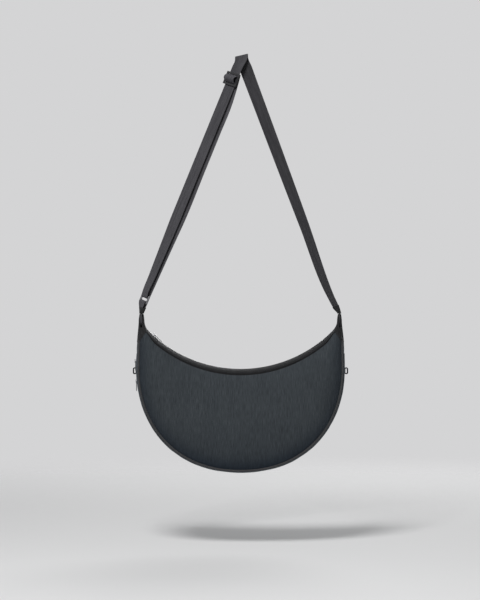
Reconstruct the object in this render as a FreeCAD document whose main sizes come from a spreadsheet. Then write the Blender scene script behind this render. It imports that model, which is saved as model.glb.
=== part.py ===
# Half moon bag, built as a jointed assembly in millimetres.
# X runs to the right seen from the front, -Y is the front and +Z is up.
# The origin is the underside of the strap fold, where the bag hangs from a hook.
import FreeCAD, Part
import math
import os
import Sketcher
from FreeCAD import Placement, Rotation, Vector

# Driving sizes: lengths in millimetres, angles in degrees
SIZES = {
    # main zip and the outline in front view
    "strap_drop": 596.0,
    "zip_arc_radius": 250.0,
    "lip_end_margin_angle": 6.0,
    "lip_overrun_angle": 3.0,
    "row_end_margin_angle": 0.3,
    "park_margin_angle": 2.9,
    "stop_margin_angle": 0.8,
    "horn_turn_angle": 84.0,
    "horn_curve_radius": 33.0,
    "outline_half_width": 197.5,
    "outline_sag": 3.5,
    "outline_rise": 7.0,
    "horn_flank_radius": 830.0,
    "horn_tip_inset": 12.6,
    "horn_tip_drop": 0.8,
    # depth of the shell
    "top_half_depth": 26.0,
    "base_half_depth": 38.0,
    "horn_half_depth": 13.5,
    "panel_bulge": 9.0,
    "panel_end_bulge": 1.2,
    "top_crown": 8.5,
    "side_crown": 5.0,
    # cloth and trim
    "panel_thickness": 2.0,
    "lining_thickness": 0.6,
    "lining_margin": 5.0,
    "gusset_thickness": 2.0,
    "facing_thickness": 1.6,
    "facing_knee_depth": 20.0,
    "facing_knee_drop": 1.8,
    "piping_radius": 1.8,
    "seat_gap": 0.3,
    # zips
    "tape_half_width": 9.0,
    "tape_thickness": 0.6,
    "row_inner": 0.8,
    "row_outer": 3.4,
    "row_half_height": 1.2,
    "tooth_length": 1.5,
    "tooth_pitch": 3.0,
    "tooth_root": 1.1,
    "stop_length": 2.4,
    "stop_height": 1.4,
    "gusset_zip_setback": 1.5,
    "gusset_zip_half_angle": 97.0,
    "gusset_stop_margin_angle": 1.4,
    "upper_slider_margin_angle": 2.8,
    "slider_spacing_angle": 11.1,
    # zip sliders and pulls
    "slider_length": 11.0,
    "slider_width": 9.6,
    "plate_thickness": 1.1,
    "flange_thickness": 0.9,
    "web_thickness": 0.9,
    "web_length": 2.6,
    "bail_half_length": 3.3,
    "bail_post": 1.1,
    "bail_opening": 2.1,
    "bail_bridge": 0.9,
    "bail_width": 2.0,
    "pull_length": 19.0,
    "pull_width": 6.4,
    "pull_thickness": 1.2,
    "pull_eye_length": 4.5,
    "pull_hole_length": 4.0,
    "pull_rail": 1.6,
    # side loops
    "loop_sink": 9.5,
    "loop_reach": 7.4,
    "loop_height": 13.0,
    "loop_wall": 1.4,
    "loop_width": 11.0,
    "loop_start_depth": 10.0,
    # strap
    "webbing_width": 25.0,
    "webbing_thickness": 1.8,
    "fold_inner_radius": 2.0,
    "apex_shift": 2.0,
    "lap_setback": 9.5,
    "lap_rise": 2.0,
    "cheek_thickness": 2.4,
    "right_knee_setback": 16.0,
    "right_knee_rise": 45.0,
    "right_bend_setback": 6.0,
    "right_bend_rise": 25.0,
    "right_bend_turn_angle": 78.0,
    "run_start": 24.0,
    "run_turn_angle": 40.0,
    "run_twist_start": 330.0,
    "return_top_gap": 3.4,
    "return_mid_gap": 8.5,
    # ring and adjuster
    "ring_bar_setback": 8.0,
    "ring_bar_rise": 47.0,
    "ring_turn_angle": 62.0,
    "ring_wire": 4.0,
    "ring_bar_spacing": 12.5,
    "ring_inner_width": 26.6,
    "adjuster_station": 46.0,
    "adjuster_length": 25.0,
    "adjuster_width": 33.0,
    "adjuster_thickness": 2.6,
    "adjuster_end_bar": 3.4,
    "adjuster_mid_bar": 5.0,
    "adjuster_rail": 3.4,
    "adjuster_round": 1.0,
    "crossover_rise": 5.2,
}
# Sizes that follow from the driving ones, as formulas of the sheet
HORN_REACH = "(zip_arc_radius - horn_curve_radius)"
DERIVED = {
    "outline_half_height": "outline_half_width + outline_sag",
    "gusset_zip_radius": "outline_half_width - gusset_zip_setback",
    "zip_end_angle": "asin((outline_half_width - horn_tip_inset - horn_curve_radius"
                     f" * sin(horn_turn_angle)) / {HORN_REACH}) / 1deg",
    "lip_half_angle": "zip_end_angle - lip_end_margin_angle",
    "slider_park_angle": "zip_end_angle - park_margin_angle",
    "zip_stop_angle": "zip_end_angle - stop_margin_angle",
    "gusset_stop_angle": "gusset_zip_half_angle - gusset_stop_margin_angle",
    "upper_slider_angle": "gusset_stop_angle - upper_slider_margin_angle",
    "lower_slider_angle": "upper_slider_angle - slider_spacing_angle",
    "horn_rise": f"zip_arc_radius - outline_rise - {HORN_REACH} * cos(zip_end_angle)"
                 " - horn_curve_radius * cos(horn_turn_angle) - horn_tip_drop",
    "loop_drop": "strap_drop - outline_rise + loop_sink",
    "lap_half_spacing": "outline_half_width - lap_setback",
    "lap_drop": "strap_drop - outline_rise - horn_rise - lap_rise",
    "right_knee_half": "lap_half_spacing - right_knee_setback",
    "right_knee_drop": "lap_drop - right_knee_rise",
    "right_bend_half": "lap_half_spacing - right_bend_setback",
    "right_bend_drop": "lap_drop - right_bend_rise",
    "ring_bar_half": "lap_half_spacing - ring_bar_setback",
    "ring_bar_drop": "lap_drop - ring_bar_rise",
}
# Shares have no unit: positions along the outline run from 0 at the middle to 1 at a horn
OUTLINE_POWER_SHARE = 2.18
ZIP_END_SHARE = 0.75
WIDEST_SHARE = 0.5
PANEL_END_SHARE = 0.78
CAP_START_SHARE = 0.788
FACING_END_SHARE = 0.772
LINING_END_SHARE = 0.68
CROWN_LOSS_SHARE = 0.85
DEPTH_POWER_SHARE = 1.2
TOP_DEPTH_POWER_SHARE = 1.3
CAP_CORNER_SHARE = 0.6
PULL_TIP_SHARE = 0.75
LOOP_ROUND_SHARE = 0.9
WIRE_ROUND_SHARE = 0.45
RING_CORNER_SHARE = 0.33
SLIDER_CORNER_SHARE = 0.2
# Webbing of the right run: share of the way from the fold to the knee, and turn in degrees
RIGHT_TURN_SHARES = ((0.05, 18), (0.4, 34), (0.7, 46), (1, 64))
PANEL_STATIONS = 8
STRIP_STATIONS = 8
FOLD_STATIONS = 4

DOC = FreeCAD.newDocument("half_moon_bag")
SHEET = DOC.addObject("Spreadsheet::Sheet", "dims")
FORMULAS = {alias: f"={formula}" for alias, formula in DERIVED.items()}
for row, (alias, entry) in enumerate({**SIZES, **FORMULAS}.items(), start=1):
    SHEET.set(f"A{row}", alias)
    SHEET.set(f"B{row}", str(entry))
    SHEET.setAlias(f"B{row}", alias)
DOC.recompute()
NODES = []


def size(alias):
    return float(SHEET.get(alias))


def sin(angle):
    return math.sin(math.radians(angle))


def cos(angle):
    return math.cos(math.radians(angle))


# Places that several pieces share
GAP = size("seat_gap")
ZIP_CENTRE = Vector(0, 0, size("zip_arc_radius") - size("strap_drop"))
OUTLINE_CENTRE = Vector(0, 0, size("outline_rise") - size("strap_drop"))
LIP_SHARE = ZIP_END_SHARE * size("lip_half_angle") / size("zip_end_angle")
GUSSET_ZIP_RISE = size("outline_half_width") * math.tan(
    math.radians(size("gusset_zip_half_angle") - 90))
GUSSET_SHARE = WIDEST_SHARE + (1 - WIDEST_SHARE) * GUSSET_ZIP_RISE / size("horn_rise")
ACROSS = Vector(0, 1, 0)
FORWARD = Vector(0, -1, 0)


# Document helpers
def keep(obj, label):
    obj.Label = label
    NODES.append(obj)
    return obj


def keep_shape(label, shape):
    obj = DOC.addObject("Part::Feature", label)
    obj.Shape = shape
    return keep(obj, label)


def origin_part(body, role):
    return next(f for f in body.Origin.OriginFeatures if f.Role == role)


def bound_sketch(body, role, name, loops):
    """Closed outlines whose corners are all tied to cells of the sheet."""
    sketch = body.newObject("Sketcher::SketchObject", name)
    sketch.AttachmentSupport = [(origin_part(body, role), "")]
    sketch.MapMode = "FlatFace"
    for loop in loops:
        first = sketch.GeometryCount
        corners = []
        for pair in loop:
            found = [sketch.evalExpression(text) for text in pair]
            corners.append([float(getattr(f, "Value", f)) for f in found])
        count = len(corners)
        for i, (x, y) in enumerate(corners):
            end = corners[(i + 1) % count]
            line = Part.LineSegment(Vector(x, y, 0), Vector(end[0], end[1], 0))
            sketch.addGeometry(line, False)
        for i in range(count):
            after = first + (i + 1) % count
            sketch.addConstraint(Sketcher.Constraint("Coincident", first + i, 2, after, 1))
        for i, pair in enumerate(loop):
            for axis, kind in enumerate(("DistanceX", "DistanceY")):
                tie = sketch.addConstraint(
                    Sketcher.Constraint(kind, -1, 1, first + i, 1, corners[i][axis]))
                sketch.setExpression(f"Constraints[{tie}]", pair[axis])
    DOC.recompute()
    return sketch


def box_loop(x0, y0, x1, y1):
    return [(x0, y0), (x1, y0), (x1, y1), (x0, y1)]


def pad(body, sketch, name, length):
    feature = body.newObject("PartDesign::Pad", name)
    feature.Profile = sketch
    feature.Midplane = True
    feature.setExpression("Length", length)
    body.Tip = feature
    DOC.recompute()
    return feature


def pocket(body, sketch, name, length):
    feature = body.newObject("PartDesign::Pocket", name)
    feature.Profile = sketch
    feature.Midplane = True
    feature.setExpression("Length", length)
    body.Tip = feature
    DOC.recompute()
    return feature


def fillet(body, name, radius, direction):
    """Rounds the straight edges of the tip that run along one direction."""
    base = body.Tip
    names = []
    for i, edge in enumerate(base.Shape.Edges, start=1):
        if edge.Curve.TypeId == "Part::GeomLine":
            if edge.tangentAt(edge.FirstParameter).cross(direction).Length < GAP:
                names.append(f"Edge{i}")
    feature = body.newObject("PartDesign::Fillet", name)
    feature.Base = (base, names)
    feature.setExpression("Radius", radius)
    body.Tip = feature
    DOC.recompute()
    return feature


def revolved(label, loop, half_angle, centre, trim=None):
    """A section in the YZ plane turned about a cross axis, equally to both sides.

    The outlines in trim, drawn in front view, are cut away through the depth."""
    body = DOC.addObject("PartDesign::Body", label)
    section = bound_sketch(body, "YZ_Plane", label + "_section", [loop])
    turn = body.newObject("PartDesign::Revolution", label + "_turn")
    turn.Profile = section
    turn.ReferenceAxis = (origin_part(body, "Y_Axis"), [""])
    turn.Midplane = True
    turn.setExpression("Angle", f"2 * ({half_angle})")
    body.Tip = turn
    DOC.recompute()
    if trim:
        ends = bound_sketch(body, "XZ_Plane", label + "_trim", trim)
        pocket(body, ends, label + "_ends", "4 * dims.top_half_depth")
    body.Placement = Placement(centre, Rotation())
    DOC.recompute()
    return keep(body, label)


def loft(wires, ruled=False):
    return Part.makeLoft(wires, True, ruled)


def ribbon(outer, inner):
    """Closed wire between an outer and an inner arc, each given by three points."""
    first = Part.Arc(*outer).toShape()
    second = Part.Arc(*inner).toShape()
    ends = [Part.LineSegment(outer[k], inner[k]).toShape() for k in (2, 0)]
    return Part.Wire([first, ends[0], second, ends[1]])


def polygon(points):
    return Part.makePolygon(points + points[:1])


def stations(start, end, count):
    return [start + (end - start) * k / count for k in range(count + 1)]


# Outline of the shell: points in front view at a share along the outline
def crown_share(share):
    past = max(0, abs(share) - LIP_SHARE) / (1 - LIP_SHARE)
    return 1 - CROWN_LOSS_SHARE * past ** 2


def top_angle(share):
    part = abs(share)
    end = size("zip_end_angle")
    if part <= ZIP_END_SHARE:
        return end * part / ZIP_END_SHARE
    return end + (size("horn_turn_angle") - end) * (part - ZIP_END_SHARE) / (1 - ZIP_END_SHARE)


def top_point(share, drop):
    angle = top_angle(share)
    end = size("zip_end_angle")
    radius = size("zip_arc_radius")
    centre = ZIP_CENTRE
    if angle > end:
        shift = radius - size("horn_curve_radius")
        centre = ZIP_CENTRE + Vector(shift * sin(end), 0, -shift * cos(end))
        radius = size("horn_curve_radius")
    reach = radius + drop
    point = centre + Vector(reach * sin(angle), 0, -reach * cos(angle))
    return Vector(math.copysign(point.x, share), 0, point.z)


def side_offset(share):
    part = abs(share)
    half = size("outline_half_width")
    if part <= WIDEST_SHARE:
        angle = 90 * part / WIDEST_SHARE
        power = OUTLINE_POWER_SHARE
        total = (sin(angle) / half) ** power
        total += (cos(angle) / size("outline_half_height")) ** power
        reach = total ** (-1 / power)
        offset = Vector(reach * sin(angle), 0, -reach * cos(angle))
    else:
        rise = size("horn_rise") * (part - WIDEST_SHARE) / (1 - WIDEST_SHARE)
        offset = Vector(half - rise ** 2 / (2 * size("horn_flank_radius")), 0, rise)
    return Vector(math.copysign(offset.x, share), 0, offset.z)


def outward(share):
    offset = side_offset(share)
    return offset / offset.Length


def side_point(share, inset):
    return OUTLINE_CENTRE + side_offset(share) - outward(share) * inset


def top_depth(share):
    past = max(0, abs(share) - LIP_SHARE) / (1 - LIP_SHARE)
    loss = size("top_half_depth") - size("horn_half_depth")
    return size("top_half_depth") - loss * past ** TOP_DEPTH_POWER_SHARE


def side_depth(share):
    extra = size("base_half_depth") - size("horn_half_depth")
    return size("horn_half_depth") + extra * cos(90 * share) ** DEPTH_POWER_SHARE


def seam_inset(share):
    return size("side_crown") * crown_share(share)


def piping_margin(share, along):
    """Length along a panel, square or slanting to its seam, that the piping takes up."""
    step = GAP / size("horn_rise")
    run = side_point(share + step, seam_inset(share)) - side_point(share - step, seam_inset(share))
    return (size("piping_radius") + GAP) / run.normalize().cross(along).Length


# Front and back panels with their linings
def panel(label, side, depth, thickness, margin, end_share):
    wires = []
    for share in stations(-end_share, end_share, 2 * PANEL_STATIONS):
        top = top_point(share, size("top_crown") * crown_share(share))
        base = side_point(share, seam_inset(share))
        along = (base - top).normalize()
        top = top + along * (GAP + margin)
        base = base - along * (piping_margin(share, along) + margin)
        bulge = size("panel_end_bulge") + size("panel_bulge") * cos(90 * share)
        depths = [top_depth(share), 0, side_depth(share)]
        depths[1] = (depths[0] + depths[2]) / 2 + bulge
        spots = [top, (top + base) / 2, base]
        faces = []
        for inset in (depth, depth + thickness):
            faces.append([p + ACROSS * side * (d - inset) for p, d in zip(spots, depths)])
        wires.append(ribbon(*faces))
    keep_shape(label, loft(wires))


PANEL = size("panel_thickness")
for word, side in (("front", -1), ("back", 1)):
    panel(f"{word}_panel", side, 0, PANEL, 0, PANEL_END_SHARE)
    panel(f"{word}_lining", side, PANEL + GAP, size("lining_thickness"),
          size("lining_margin"), LINING_END_SHARE)


# Gusset: two strips beside the gusset zip, and an end piece up each horn
def gusset_strip(label, side):
    wires = []
    for share in stations(-GUSSET_SHARE, GUSSET_SHARE, 2 * STRIP_STATIONS):
        out = outward(share)
        ridge = side_point(share, 0)
        seam_depth = side_depth(share) - size("piping_radius") - GAP
        zip_depth = size("tape_half_width") + GAP
        zip_edge = OUTLINE_CENTRE + out * (size("gusset_zip_radius") + size("tape_thickness"))
        spots = [side_point(share, seam_inset(share)), ridge, zip_edge]
        depths = [seam_depth, (seam_depth + zip_depth) / 2, zip_depth]
        outer = [p + ACROSS * side * d for p, d in zip(spots, depths)]
        wires.append(ribbon(outer, [p - out * size("gusset_thickness") for p in outer]))
    keep_shape(label, loft(wires))


def gusset_end(label, hand):
    wires = []
    start = GUSSET_SHARE + (1 - WIDEST_SHARE) * GAP / size("horn_rise")
    for part in stations(start, PANEL_END_SHARE, FOLD_STATIONS):
        share = hand * part
        out = outward(share)
        seam = side_point(share, seam_inset(share))
        depth = side_depth(share) - size("piping_radius") - GAP
        outer = [seam - ACROSS * depth, side_point(share, 0), seam + ACROSS * depth]
        wires.append(ribbon(outer, [p - out * size("gusset_thickness") for p in outer]))
    keep_shape(label, loft(wires))


def piping(label, side):
    wires = []
    for share in stations(-PANEL_END_SHARE, PANEL_END_SHARE, 2 * PANEL_STATIONS):
        centre = side_point(share, seam_inset(share)) + ACROSS * side * side_depth(share)
        ring = Part.Circle(centre, outward(share).cross(ACROSS), size("piping_radius"))
        wires.append(Part.Wire(ring.toShape()))
    keep_shape(label, loft(wires))


gusset_strip("gusset_front_strip", -1)
gusset_strip("gusset_back_strip", 1)
gusset_end("gusset_left_end", -1)
gusset_end("gusset_right_end", 1)
piping("front_piping", -1)
piping("back_piping", 1)

# Gusset zip: tapes and coil rows about the outline centre
for word, sign in (("front", "-"), ("back", "")):
    middle = "-dims.gusset_zip_radius"
    half = "dims.tape_thickness / 2"
    tape = box_loop(f"{sign}dims.tape_half_width", f"{middle} - {half}",
                    f"{sign}dims.row_outer", f"{middle} + {half}")
    revolved(f"gusset_zip_{word}_tape", tape, "dims.gusset_zip_half_angle", OUTLINE_CENTRE)
    coil = box_loop(f"{sign}dims.row_outer", f"{middle} - dims.row_half_height",
                    f"{sign}dims.row_inner", f"{middle} + dims.row_half_height")
    revolved(f"gusset_zip_{word}_coil", coil, "dims.gusset_zip_half_angle", OUTLINE_CENTRE)


# Zip stops: a pair of clamps across the rows of one zip
def zip_stops(label, centre, radius, angle, outside):
    height = size("stop_height")
    base = size("row_half_height") + GAP / 2
    stops = []
    for hand in (-1, 1):
        block = Part.makeBox(size("stop_length"), 2 * size("row_outer"), height)
        low = base if outside else -base - height
        block.translate(Vector(-size("stop_length") / 2, -size("row_outer"), low + radius))
        block.rotate(Vector(), ACROSS, 180 - hand * angle)
        block.translate(centre)
        stops.append(block)
    keep_shape(label, Part.makeCompound(stops))


zip_stops("gusset_zip_stops", OUTLINE_CENTRE, size("gusset_zip_radius"),
          size("gusset_stop_angle"), True)
zip_stops("main_zip_stops", ZIP_CENTRE, size("zip_arc_radius"), size("zip_stop_angle"), False)

# Main zip lips: facing, tape and a row of teeth on each side of the mouth
EDGE = "-dims.zip_arc_radius"
SEAM = "dims.zip_arc_radius + dims.top_crown"
LIP_TURN = "dims.lip_half_angle + dims.lip_overrun_angle"
LIP_REACH = "dims.zip_arc_radius * sin(dims.lip_half_angle)"
LIP_TRIM = [box_loop(f"{sign}({LIP_REACH})", f"-2 * ({SEAM})", f"{sign}({SEAM})", "0")
            for sign in ("", "-")]
for word, sign in (("front", "-"), ("back", "")):
    skin = "dims.facing_thickness"
    half = "dims.facing_thickness / 2"
    near = f"{sign}(dims.tape_half_width + dims.seat_gap)"
    knee = f"{sign}dims.facing_knee_depth"
    facing = [
        (near, f"{EDGE} + {half}"),
        (knee, f"{EDGE} - dims.facing_knee_drop + {half}"),
        (f"{sign}dims.top_half_depth", f"-({SEAM})"),
        (f"{sign}(dims.top_half_depth - {skin})", f"-({SEAM})"),
        (f"{sign}(dims.facing_knee_depth - {half})", f"{EDGE} - dims.facing_knee_drop - {half}"),
        (near, f"{EDGE} - {half}"),
    ]
    revolved(f"{word}_facing", facing, LIP_TURN, ZIP_CENTRE, LIP_TRIM)
    tape = box_loop(f"{sign}dims.tape_half_width", f"{EDGE} - dims.tape_thickness / 2",
                    f"{sign}dims.row_outer", f"{EDGE} + dims.tape_thickness / 2")
    revolved(f"main_zip_{word}_tape", tape, LIP_TURN, ZIP_CENTRE, LIP_TRIM)


# A row of teeth: a root bead turned along the zip, with one tooth repeated on it
def tooth_row(label, sign):
    body = DOC.addObject("PartDesign::Body", label)
    low = f"{EDGE} - dims.row_half_height"
    high = f"{EDGE} + dims.row_half_height"
    root = f"{sign}(dims.row_outer - dims.tooth_root)"
    bead_loop = box_loop(f"{sign}dims.row_outer", low, root, high)
    bead = bound_sketch(body, "YZ_Plane", label + "_bead", [bead_loop])
    turn = body.newObject("PartDesign::Revolution", label + "_turn")
    turn.Profile = bead
    turn.ReferenceAxis = (origin_part(body, "Y_Axis"), [""])
    turn.setExpression("Angle", "2 * (dims.lip_half_angle - dims.row_end_margin_angle)")
    tooth_loop = box_loop(f"{sign}dims.row_outer", low, f"{sign}dims.row_inner", high)
    tooth = bound_sketch(body, "YZ_Plane", label + "_tooth", [tooth_loop])
    first = body.newObject("PartDesign::Pad", label + "_first")
    first.Profile = tooth
    first.Reversed = True
    first.setExpression("Length", "dims.tooth_length")
    DOC.recompute()
    pattern = body.newObject("PartDesign::PolarPattern", label + "_pattern")
    pattern.Originals = [first]
    pattern.Axis = (origin_part(body, "Y_Axis"), [""])
    half = size("lip_half_angle") - size("row_end_margin_angle")
    step = math.degrees(size("tooth_pitch") / size("zip_arc_radius"))
    count = int(2 * half / step)
    pattern.Occurrences = count
    pattern.Angle = step * (count - 1)
    body.Tip = pattern
    body.Placement = Placement(ZIP_CENTRE, Rotation(ACROSS, -half))
    DOC.recompute()
    keep(body, label)


tooth_row("main_zip_front_teeth", "-")
tooth_row("main_zip_back_teeth", "")


# Fixed ends of the main zip, where the slider parks past the lips
def turned(loop, start, end):
    """Section points (depth, drop from the zip edge) turned between two angles to the right."""
    radius = size("zip_arc_radius")
    points = [Vector(0, y, -radius - drop) for y, drop in loop]
    section = Part.Face(polygon(points))
    section.rotate(Vector(), ACROSS, -start)
    solid = section.revolve(Vector(), FORWARD, end - start)
    solid.translate(ZIP_CENTRE)
    return solid


CLEAR_ANGLE = math.degrees(GAP / size("zip_arc_radius"))
LIP_END = size("lip_half_angle") + size("row_end_margin_angle") + CLEAR_ANGLE


def row_loop(side):
    thin = size("tape_thickness") / 2
    tall = size("row_half_height")
    wide, out, inside = (side * size(n) for n in ("tape_half_width", "row_outer", "row_inner"))
    return [(wide, -thin), (out, -thin), (out, -tall), (inside, -tall),
            (inside, tall), (out, tall), (out, thin), (wide, thin)]


def to_left(shape):
    return shape.mirror(Vector(), Vector(1, 0, 0))


ends = [turned(row_loop(side), LIP_END, size("zip_end_angle")) for side in (-1, 1)]
keep_shape("main_zip_right_end", Part.makeCompound(ends))
keep_shape("main_zip_left_end", Part.makeCompound([to_left(s) for s in ends]))


def facing_end():
    wires = []
    half = size("facing_thickness") / 2
    early = size("lip_half_angle") - size("lip_overrun_angle")
    start = ZIP_END_SHARE * early / size("zip_end_angle")
    for share in stations(start, FACING_END_SHARE, FOLD_STATIONS):
        crown = crown_share(share)
        depth = top_depth(share)
        knee = size("facing_knee_depth") * depth / size("top_half_depth")
        drop = size("facing_knee_drop") * crown
        near = size("tape_half_width") + GAP
        seam = size("top_crown") * crown - GAP
        side = [(depth, seam), (knee, drop - half), (near, -half)]
        inner = [(near, half), (knee - half, drop + half), (depth - 2 * half, seam)]
        loop = side + [(-y, d) for y, d in reversed(side)]
        loop += [(-y, d) for y, d in reversed(inner)] + inner
        wires.append(polygon([top_point(share, d) + ACROSS * y for y, d in loop]))
    near = size("tape_half_width") + GAP
    reach = size("top_crown")
    slot = [(-near, -reach), (near, -reach), (near, reach), (-near, reach)]
    cut = turned(slot, early, size("zip_end_angle") + CLEAR_ANGLE)
    lips = Part.makeBox(size("zip_arc_radius") * sin(size("lip_half_angle")) + GAP,
                        4 * size("top_half_depth"), 2 * size("zip_arc_radius"))
    lips.translate(ZIP_CENTRE - Vector(0, 2 * size("top_half_depth"), 2 * size("zip_arc_radius")))
    return loft(wires, True).cut(cut).cut(lips)


END = facing_end()
keep_shape("right_top_facing", END)
keep_shape("left_top_facing", to_left(END))

# Horn caps: folded cloth closing each horn, with two cheeks beside the strap end
CHEEK = size("webbing_width") / 2 + GAP
LAP = Vector(size("lap_half_spacing"), 0, -size("lap_drop"))


def horn_cap(thickness):
    slot_half = thickness / 2 + GAP
    half = slot_half + size("cheek_thickness")
    share = CAP_START_SHARE
    top = top_point(share, -size("facing_thickness") / 2)
    side = side_point(share, 0)
    along = (side - top).normalize()
    corner = CAP_CORNER_SHARE
    rows = [
        (top, top_depth(share) * corner),
        (top + along * size("top_crown") * crown_share(share), top_depth(share)),
        (side - along * seam_inset(share), side_depth(share)),
        (side, side_depth(share) * corner),
    ]
    low = [p - ACROSS * d for p, d in rows] + [p + ACROSS * d for p, d in reversed(rows)]
    wires = [polygon(low)]
    flat = size("horn_half_depth")
    bevel = size("cheek_thickness")
    for rise, spread in ((-CHEEK - GAP, bevel), (0, 0)):
        wide = half + spread
        across = [(-wide, flat - bevel), (bevel - wide, flat),
                  (wide - bevel, flat), (wide, flat - bevel)]
        loop = [Vector(x, -y, rise) for x, y in across]
        loop += [Vector(x, y, rise) for x, y in reversed(across)]
        wires.append(polygon([LAP + p for p in loop]))
    cheek = Part.makeCylinder(CHEEK, 2 * half, LAP - Vector(half, 0, 0), Vector(1, 0, 0))
    slot = Part.makeBox(2 * slot_half, 4 * CHEEK, 4 * CHEEK)
    slot.translate(LAP + Vector(-slot_half, -2 * CHEEK, -CHEEK))
    return loft(wires, True).fuse(cheek).cut(slot).removeSplitter()


TAB = 2 * size("webbing_thickness")
keep_shape("right_horn_cap", horn_cap(size("webbing_thickness")))
keep_shape("left_horn_cap", to_left(horn_cap(TAB)))


# Side loops sewn to the back strip of the gusset
def side_loop(label, hand):
    body = DOC.addObject("PartDesign::Body", label)
    wall = "dims.loop_wall"
    half = "dims.loop_height / 2"
    outer = box_loop("0", f"-{half}", "dims.loop_reach", half)
    inner = box_loop(wall, f"-{half} + {wall}", f"dims.loop_reach - {wall}", f"{half} - {wall}")
    shape = bound_sketch(body, "XZ_Plane", label + "_outline", [outer, inner])
    pad(body, shape, label + "_pad", "dims.loop_width")
    fillet(body, label + "_round", f"dims.loop_wall * {LOOP_ROUND_SHARE}", ACROSS)
    depth = size("loop_start_depth") + size("loop_width") / 2
    base = Vector(hand * (size("outline_half_width") + GAP), depth, -size("loop_drop"))
    turn = Rotation() if hand > 0 else Rotation(Vector(0, 0, 1), 180)
    body.Placement = Placement(base, turn)
    keep(body, label)


side_loop("right_side_loop", 1)
side_loop("left_side_loop", -1)


# Zip slider: two plates round the rows, a web between the rows, and a bail for the pull
def slider(label, place):
    body = DOC.addObject("PartDesign::Body", label)
    room = "dims.row_half_height + dims.seat_gap"
    high = f"{room} + dims.plate_thickness"
    half = "dims.slider_length / 2"
    wide = "dims.slider_width / 2"
    block = box_loop(f"-{half}", f"-{wide}", half, wide)
    plan = bound_sketch(body, "XY_Plane", label + "_plan", [block])
    pad(body, plan, label + "_block", f"2 * ({high})")
    fillet(body, label + "_corner", f"dims.slider_width * {SLIDER_CORNER_SHARE}", Vector(0, 0, 1))
    slit = "dims.tape_thickness / 2 + dims.seat_gap"
    wall = f"{wide} - dims.flange_thickness"
    web = "dims.web_thickness / 2"
    channels = []
    for sign in ("", "-"):
        side = [(web, f"-({room})"), (wall, f"-({room})"), (wall, f"-({slit})"),
                (f"{wide} + dims.seat_gap", f"-({slit})"), (f"{wide} + dims.seat_gap", slit),
                (wall, slit), (wall, room), (web, room)]
        channels.append([(f"{sign}({y})", z) for y, z in side])
    section = bound_sketch(body, "YZ_Plane", label + "_channel", channels)
    pocket(body, section, label + "_rows", "2 * dims.slider_length")
    rear = box_loop(f"-{half} - dims.seat_gap", f"-({room})", f"{half} - dims.web_length", room)
    gap = bound_sketch(body, "XZ_Plane", label + "_mouth", [rear])
    pocket(body, gap, label + "_throat", "2 * dims.web_thickness")
    reach = "dims.bail_half_length"
    inside = f"{reach} - dims.bail_post"
    roof = f"{high} + dims.bail_opening"
    arch = [(f"-{reach}", f"{high} - dims.seat_gap"), (f"-({inside})", f"{high} - dims.seat_gap"),
            (f"-({inside})", roof), (inside, roof), (inside, f"{high} - dims.seat_gap"),
            (reach, f"{high} - dims.seat_gap"), (reach, f"{roof} + dims.bail_bridge"),
            (f"-{reach}", f"{roof} + dims.bail_bridge")]
    bail = bound_sketch(body, "XZ_Plane", label + "_arch", [arch])
    pad(body, bail, label + "_bail", "dims.bail_width")
    body.Placement = place
    keep(body, label)


# Pull: a flat tab whose eye bar turns under the bail of its slider
def pull(label, place):
    body = DOC.addObject("PartDesign::Body", label)
    bar = "dims.pull_thickness / 2"
    wide = "dims.pull_width / 2"
    tip = f"{wide} * {PULL_TIP_SHARE}"
    outer = [(bar, f"-{wide}"), (bar, wide), (f"{bar} - dims.pull_length", tip),
             (f"{bar} - dims.pull_length", f"-{tip}")]
    side = f"{wide} - dims.pull_rail"
    eye = box_loop(f"-dims.pull_eye_length", f"-({side})", f"-{bar}", side)
    end = "dims.pull_length - dims.pull_rail - dims.pull_thickness"
    hole = box_loop(f"-({end})", f"-({tip} - dims.pull_rail)",
                    f"-({end} - dims.pull_hole_length)", f"{tip} - dims.pull_rail")
    plan = bound_sketch(body, "XY_Plane", label + "_plan", [outer, eye, hole])
    pad(body, plan, label + "_tab", "dims.pull_thickness")
    body.Placement = place
    keep(body, label)


PULL_HEIGHT = size("row_half_height") + GAP + size("plate_thickness") + size("bail_opening") / 2


def fit_slider(label, pull_label, centre, radius, angle, outside):
    """Angle is measured from straight down, positive to the left.

    The pull of an outside slider hangs straight down, the other lies along its zip."""
    away = Vector(-sin(angle), 0, -cos(angle))
    up = away if outside else -away
    along = Vector(-cos(angle), 0, sin(angle))
    turn = Rotation(along, up.cross(along), up, "ZXY")
    spot = centre + away * radius
    slider(label, Placement(spot, turn))
    pivot = spot + up * PULL_HEIGHT
    if outside:
        turn = Rotation(Vector(0, 0, 1), ACROSS, Vector(-1, 0, 0), "ZXY")
    pull(pull_label, Placement(pivot, turn))


fit_slider("main_slider", "main_pull", ZIP_CENTRE, size("zip_arc_radius"),
           size("slider_park_angle"), False)
for word in ("upper", "lower"):
    fit_slider(f"{word}_gusset_slider", f"{word}_gusset_pull", OUTLINE_CENTRE,
               size("gusset_zip_radius"), size(f"{word}_slider_angle"), True)


# Strap: webbing sections along each run, turned from face-on at the fold to edge-on at the horns
WIDTH = size("webbing_width")
THICK = size("webbing_thickness")
FOLD = size("fold_inner_radius") + THICK / 2
APEX = Vector(size("apex_shift"), 0, -size("fold_inner_radius"))


def turned_frame(down, angle):
    """Width and face directions of webbing running down, turned about its own length."""
    level = FORWARD.cross(down).normalize()
    level = level if level.x > 0 else -level
    width = level * cos(angle) + FORWARD * sin(angle)
    face = FORWARD * cos(angle) - level * sin(angle)
    return width, face


def webbing(centre, width, face, thickness):
    half = width * (WIDTH / 2)
    skin = face * (thickness / 2)
    return polygon([centre - half - skin, centre + half - skin,
                    centre + half + skin, centre - half + skin])


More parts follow.
